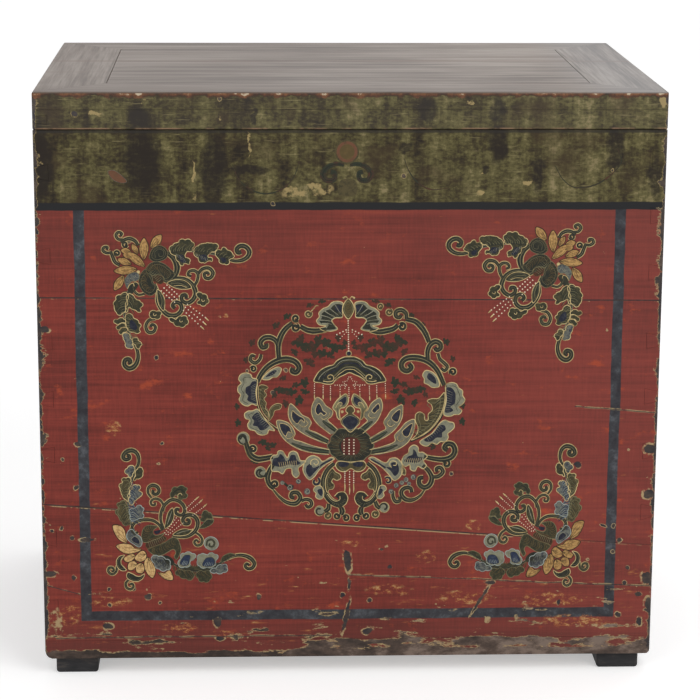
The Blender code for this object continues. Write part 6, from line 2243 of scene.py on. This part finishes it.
def nail_row(master: bpy.types.Object, name: str, places: Sequence[Sequence[float]], body: Body,
             material: bpy.types.Material) -> None:
    """Copies a nail head to each of its places, as one piece.

    Args:
        master: The nail head.
        name: The piece's name.
        places: Where the heads sit.
        body: The body that they ride on.
        material: Their iron.
    """
    heads = bmesh.new()
    for place in places:
        copy = master.data.copy()
        copy.transform(Matrix.Translation(place))
        heads.from_mesh(copy)
        bpy.data.meshes.remove(copy)
    mesh = bpy.data.meshes.new(name)
    heads.to_mesh(mesh)
    heads.free()
    mesh.materials.append(material)
    piece = bpy.data.objects.new(name, mesh)
    bpy.context.scene.collection.objects.link(piece)
    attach(piece, body.value)
    LOG.info("%s holds %d nails", name, len(places))


@dataclass(frozen=True)
class HingeNails:
    """Forged nails that hold the hinge leaves to the rear."""

    radius: float = 0.0032
    height: float = 0.0016
    plate: float = 0.0023
    columns: Tuple[float, ...] = (-0.024, 0.0, 0.024)
    edge: float = 0.010

    def build(self, material: bpy.types.Material) -> None:
        """Drives three nails into every leaf.

        Args:
            material: Their iron.
        """
        master = nail_master(self.radius, self.height)
        for body, label in ((Body.CASE, "case"), (Body.LID, "lid")):
            for side in ("left", "right"):
                low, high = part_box(f"hinge_{label}_leaf_{side}")
                middle = (low.x + high.x) / 2
                height = low.z + self.edge if body is Body.CASE else high.z - self.edge
                places = [(middle + column, REAR + self.plate, height) for column in self.columns]
                nail_row(master, f"hinge_{label}_nails_{side}", places, body, material)
        bpy.data.objects.remove(master)


@dataclass(frozen=True)
class BottomNails:
    """Nails driven up through the bottom boards into the walls."""

    radius: float = 0.0030
    height: float = 0.0016
    proud: float = 0.0003
    inset: float = 0.009
    columns: Tuple[float, ...] = (-0.25, -0.085, 0.085, 0.25)

    def build(self, material: bpy.types.Material) -> None:
        """Drives a row along the front wall and a row along the rear wall.

        Args:
            material: Their iron.
        """
        master = nail_master(self.radius, self.height)
        master.data.transform(Matrix.Rotation(-math.pi / 2, 4, "X"))
        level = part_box("bottom_board_front")[0].z - self.proud
        for label, depth in (("front", FRONT + self.inset), ("rear", REAR - self.inset)):
            places = [(column, depth, level) for column in self.columns]
            nail_row(master, f"bottom_nails_{label}", places, Body.CASE, material)
        bpy.data.objects.remove(master)


@dataclass(frozen=True)
class Studio:
    """Pale floor, soft light and the camera."""

    floor_reach: float = 60.0
    floor_tone: float = 0.80
    floor_glow: float = 0.42
    far_glow: float = 0.70
    glow_reach: Tuple[float, float] = (0.9, 3.5)
    ambient: float = 0.38
    eye: Tuple[float, float, float] = (-0.126, -3.2747, 1.148)
    yaw: float = 2.39
    pitch: float = 13.45
    roll: float = 0.31
    lens: float = 126.9

    def build(self) -> None:
        """Sets the stage."""
        self.floor()
        self.world()
        self.lamp("key_light", (1.9, -2.7, 2.3), (0.0, -0.2, 0.40), 2.4, 72.0)
        self.lamp("fill_light", (-2.1, -2.5, 1.5), (0.0, -0.2, 0.36), 2.4, 36.0)
        self.lamp("top_light", (0.4, 0.9, 2.9), (0.0, 0.0, 0.60), 2.2, 30.0)
        self.camera()

    def floor(self) -> None:
        """A wide pale floor that keeps the shadow, with a little glow for the camera alone, more of it far off."""
        bpy.ops.object.select_all(action="DESELECT")
        bpy.ops.mesh.primitive_plane_add(size=self.floor_reach, location=(0, 0, 0))
        floor = bpy.context.active_object
        floor.name = "floor"
        graph = Graph("floor_white")
        tone = self.floor_tone
        graph.finish((tone, tone, tone), 0.9, gloss=0.1)
        glow = graph.put("ShaderNodeEmission")
        glow.inputs["Color"].default_value = (1.0, 1.0, 1.0, 1.0)
        seen = graph.put("ShaderNodeLightPath")
        rays = graph.most(seen.outputs["Is Camera Ray"], seen.outputs["Is Glossy Ray"])
        square = graph.math("MULTIPLY_ADD", graph.x, graph.x, graph.times(graph.y, graph.y))
        strength = graph.step(graph.math("SQRT", square), *self.glow_reach, self.floor_glow, self.far_glow)
        graph.wire(graph.times(rays, strength), glow.inputs["Strength"])
        both = graph.put("ShaderNodeAddShader")
        graph.wire(graph.shader.outputs[0], both.inputs[0])
        graph.wire(glow.outputs[0], both.inputs[1])
        output = next(node for node in graph.tree.nodes if node.type == "OUTPUT_MATERIAL")
        graph.wire(both.outputs[0], output.inputs[0])
        floor.data.materials.append(graph.material)

    def world(self) -> None:
        """White surroundings to look at, softer ones to be lit by."""
        world = bpy.data.worlds.new("studio_world")
        bpy.context.scene.world = world
        world.use_nodes = True
        tree = world.node_tree
        tree.nodes.clear()
        output = tree.nodes.new("ShaderNodeOutputWorld")
        back = tree.nodes.new("ShaderNodeBackground")
        back.inputs["Color"].default_value = (1.0, 1.0, 1.0, 1.0)
        seen = tree.nodes.new("ShaderNodeLightPath")
        total = seen.outputs["Is Camera Ray"]
        for name in ("Is Glossy Ray", "Is Transmission Ray"):
            join = tree.nodes.new("ShaderNodeMath")
            join.operation = "MAXIMUM"
            tree.links.new(total, join.inputs[0])
            tree.links.new(seen.outputs[name], join.inputs[1])
            total = join.outputs[0]
        strength = tree.nodes.new("ShaderNodeMapRange")
        tree.links.new(total, strength.inputs[0])
        strength.inputs[3].default_value = self.ambient
        strength.inputs[4].default_value = 1.0
        tree.links.new(strength.outputs[0], back.inputs["Strength"])
        tree.links.new(back.outputs[0], output.inputs[0])

    def lamp(self, name: str, place: Sequence[float], aim: Sequence[float], size: float, power: float) -> None:
        """Hangs one soft lamp.

        Args:
            name: Its name.
            place: Where it hangs.
            aim: What it points at.
            size: Side of its square.
            power: Its power in watts.
        """
        data = bpy.data.lights.new(name, "AREA")
        data.size = size
        data.energy = power
        lamp = bpy.data.objects.new(name, data)
        lamp.location = place
        lamp.rotation_euler = (Vector(aim) - Vector(place)).to_track_quat("-Z", "Y").to_euler()
        bpy.context.scene.collection.objects.link(lamp)

    def camera(self) -> None:
        """Sets the camera at the viewing angle of the front."""
        yaw, pitch, roll = (math.radians(angle) for angle in (self.yaw, self.pitch, self.roll))
        ahead = Vector((math.sin(yaw) * math.cos(pitch), math.cos(yaw) * math.cos(pitch), -math.sin(pitch)))
        right = Vector((math.cos(yaw), -math.sin(yaw), 0.0))
        up = right.cross(ahead)
        turned = right * math.cos(roll) + up * math.sin(roll)
        raised = up * math.cos(roll) - right * math.sin(roll)
        data = bpy.data.cameras.new("camera")
        data.lens = self.lens
        data.sensor_width = 36.0
        data.clip_end = 200.0
        camera = bpy.data.objects.new("camera", data)
        frame_of_view = Matrix((turned, raised, -ahead)).transposed().to_4x4()
        camera.matrix_world = Matrix.Translation(self.eye) @ frame_of_view
        bpy.context.scene.collection.objects.link(camera)
        bpy.context.scene.camera = camera


def main() -> None:
    """Dresses the trunk and sets the stage."""
    logging.basicConfig(level=logging.INFO, format="%(name)s: %(message)s")
    bpy.context.scene.view_settings.view_transform = "Standard"
    finish = TrunkFinish()
    finish.dress()
    finishes = {paint: paint.gesso.material(f"gesso_{paint.label}") for paint in Paint}
    Medallion().build(finishes)
    sprays = (
        UpperSpray("spray_upper_left", (1.0, 0.985), (7.5, 0.968)),
        UpperSpray("spray_upper_right", (694.0, -0.985), (1.0, 0.968)),
        LowerSpray("spray_lower_left", (-6.1, 1.012), (3.3, 0.989), Paint.STRAW),
        LowerSpray("spray_lower_right", (699.0, -0.965), (-3.4, 1.0)),
    )
    for spray in sprays:
        spray.build(finishes)
    BandMotif().build(finishes)
    iron = bpy.data.materials["hinge_dark_iron"]
    HingeNails().build(iron)
    BottomNails().build(iron)
    Studio().build()


if __name__ == "__main__":
    main()
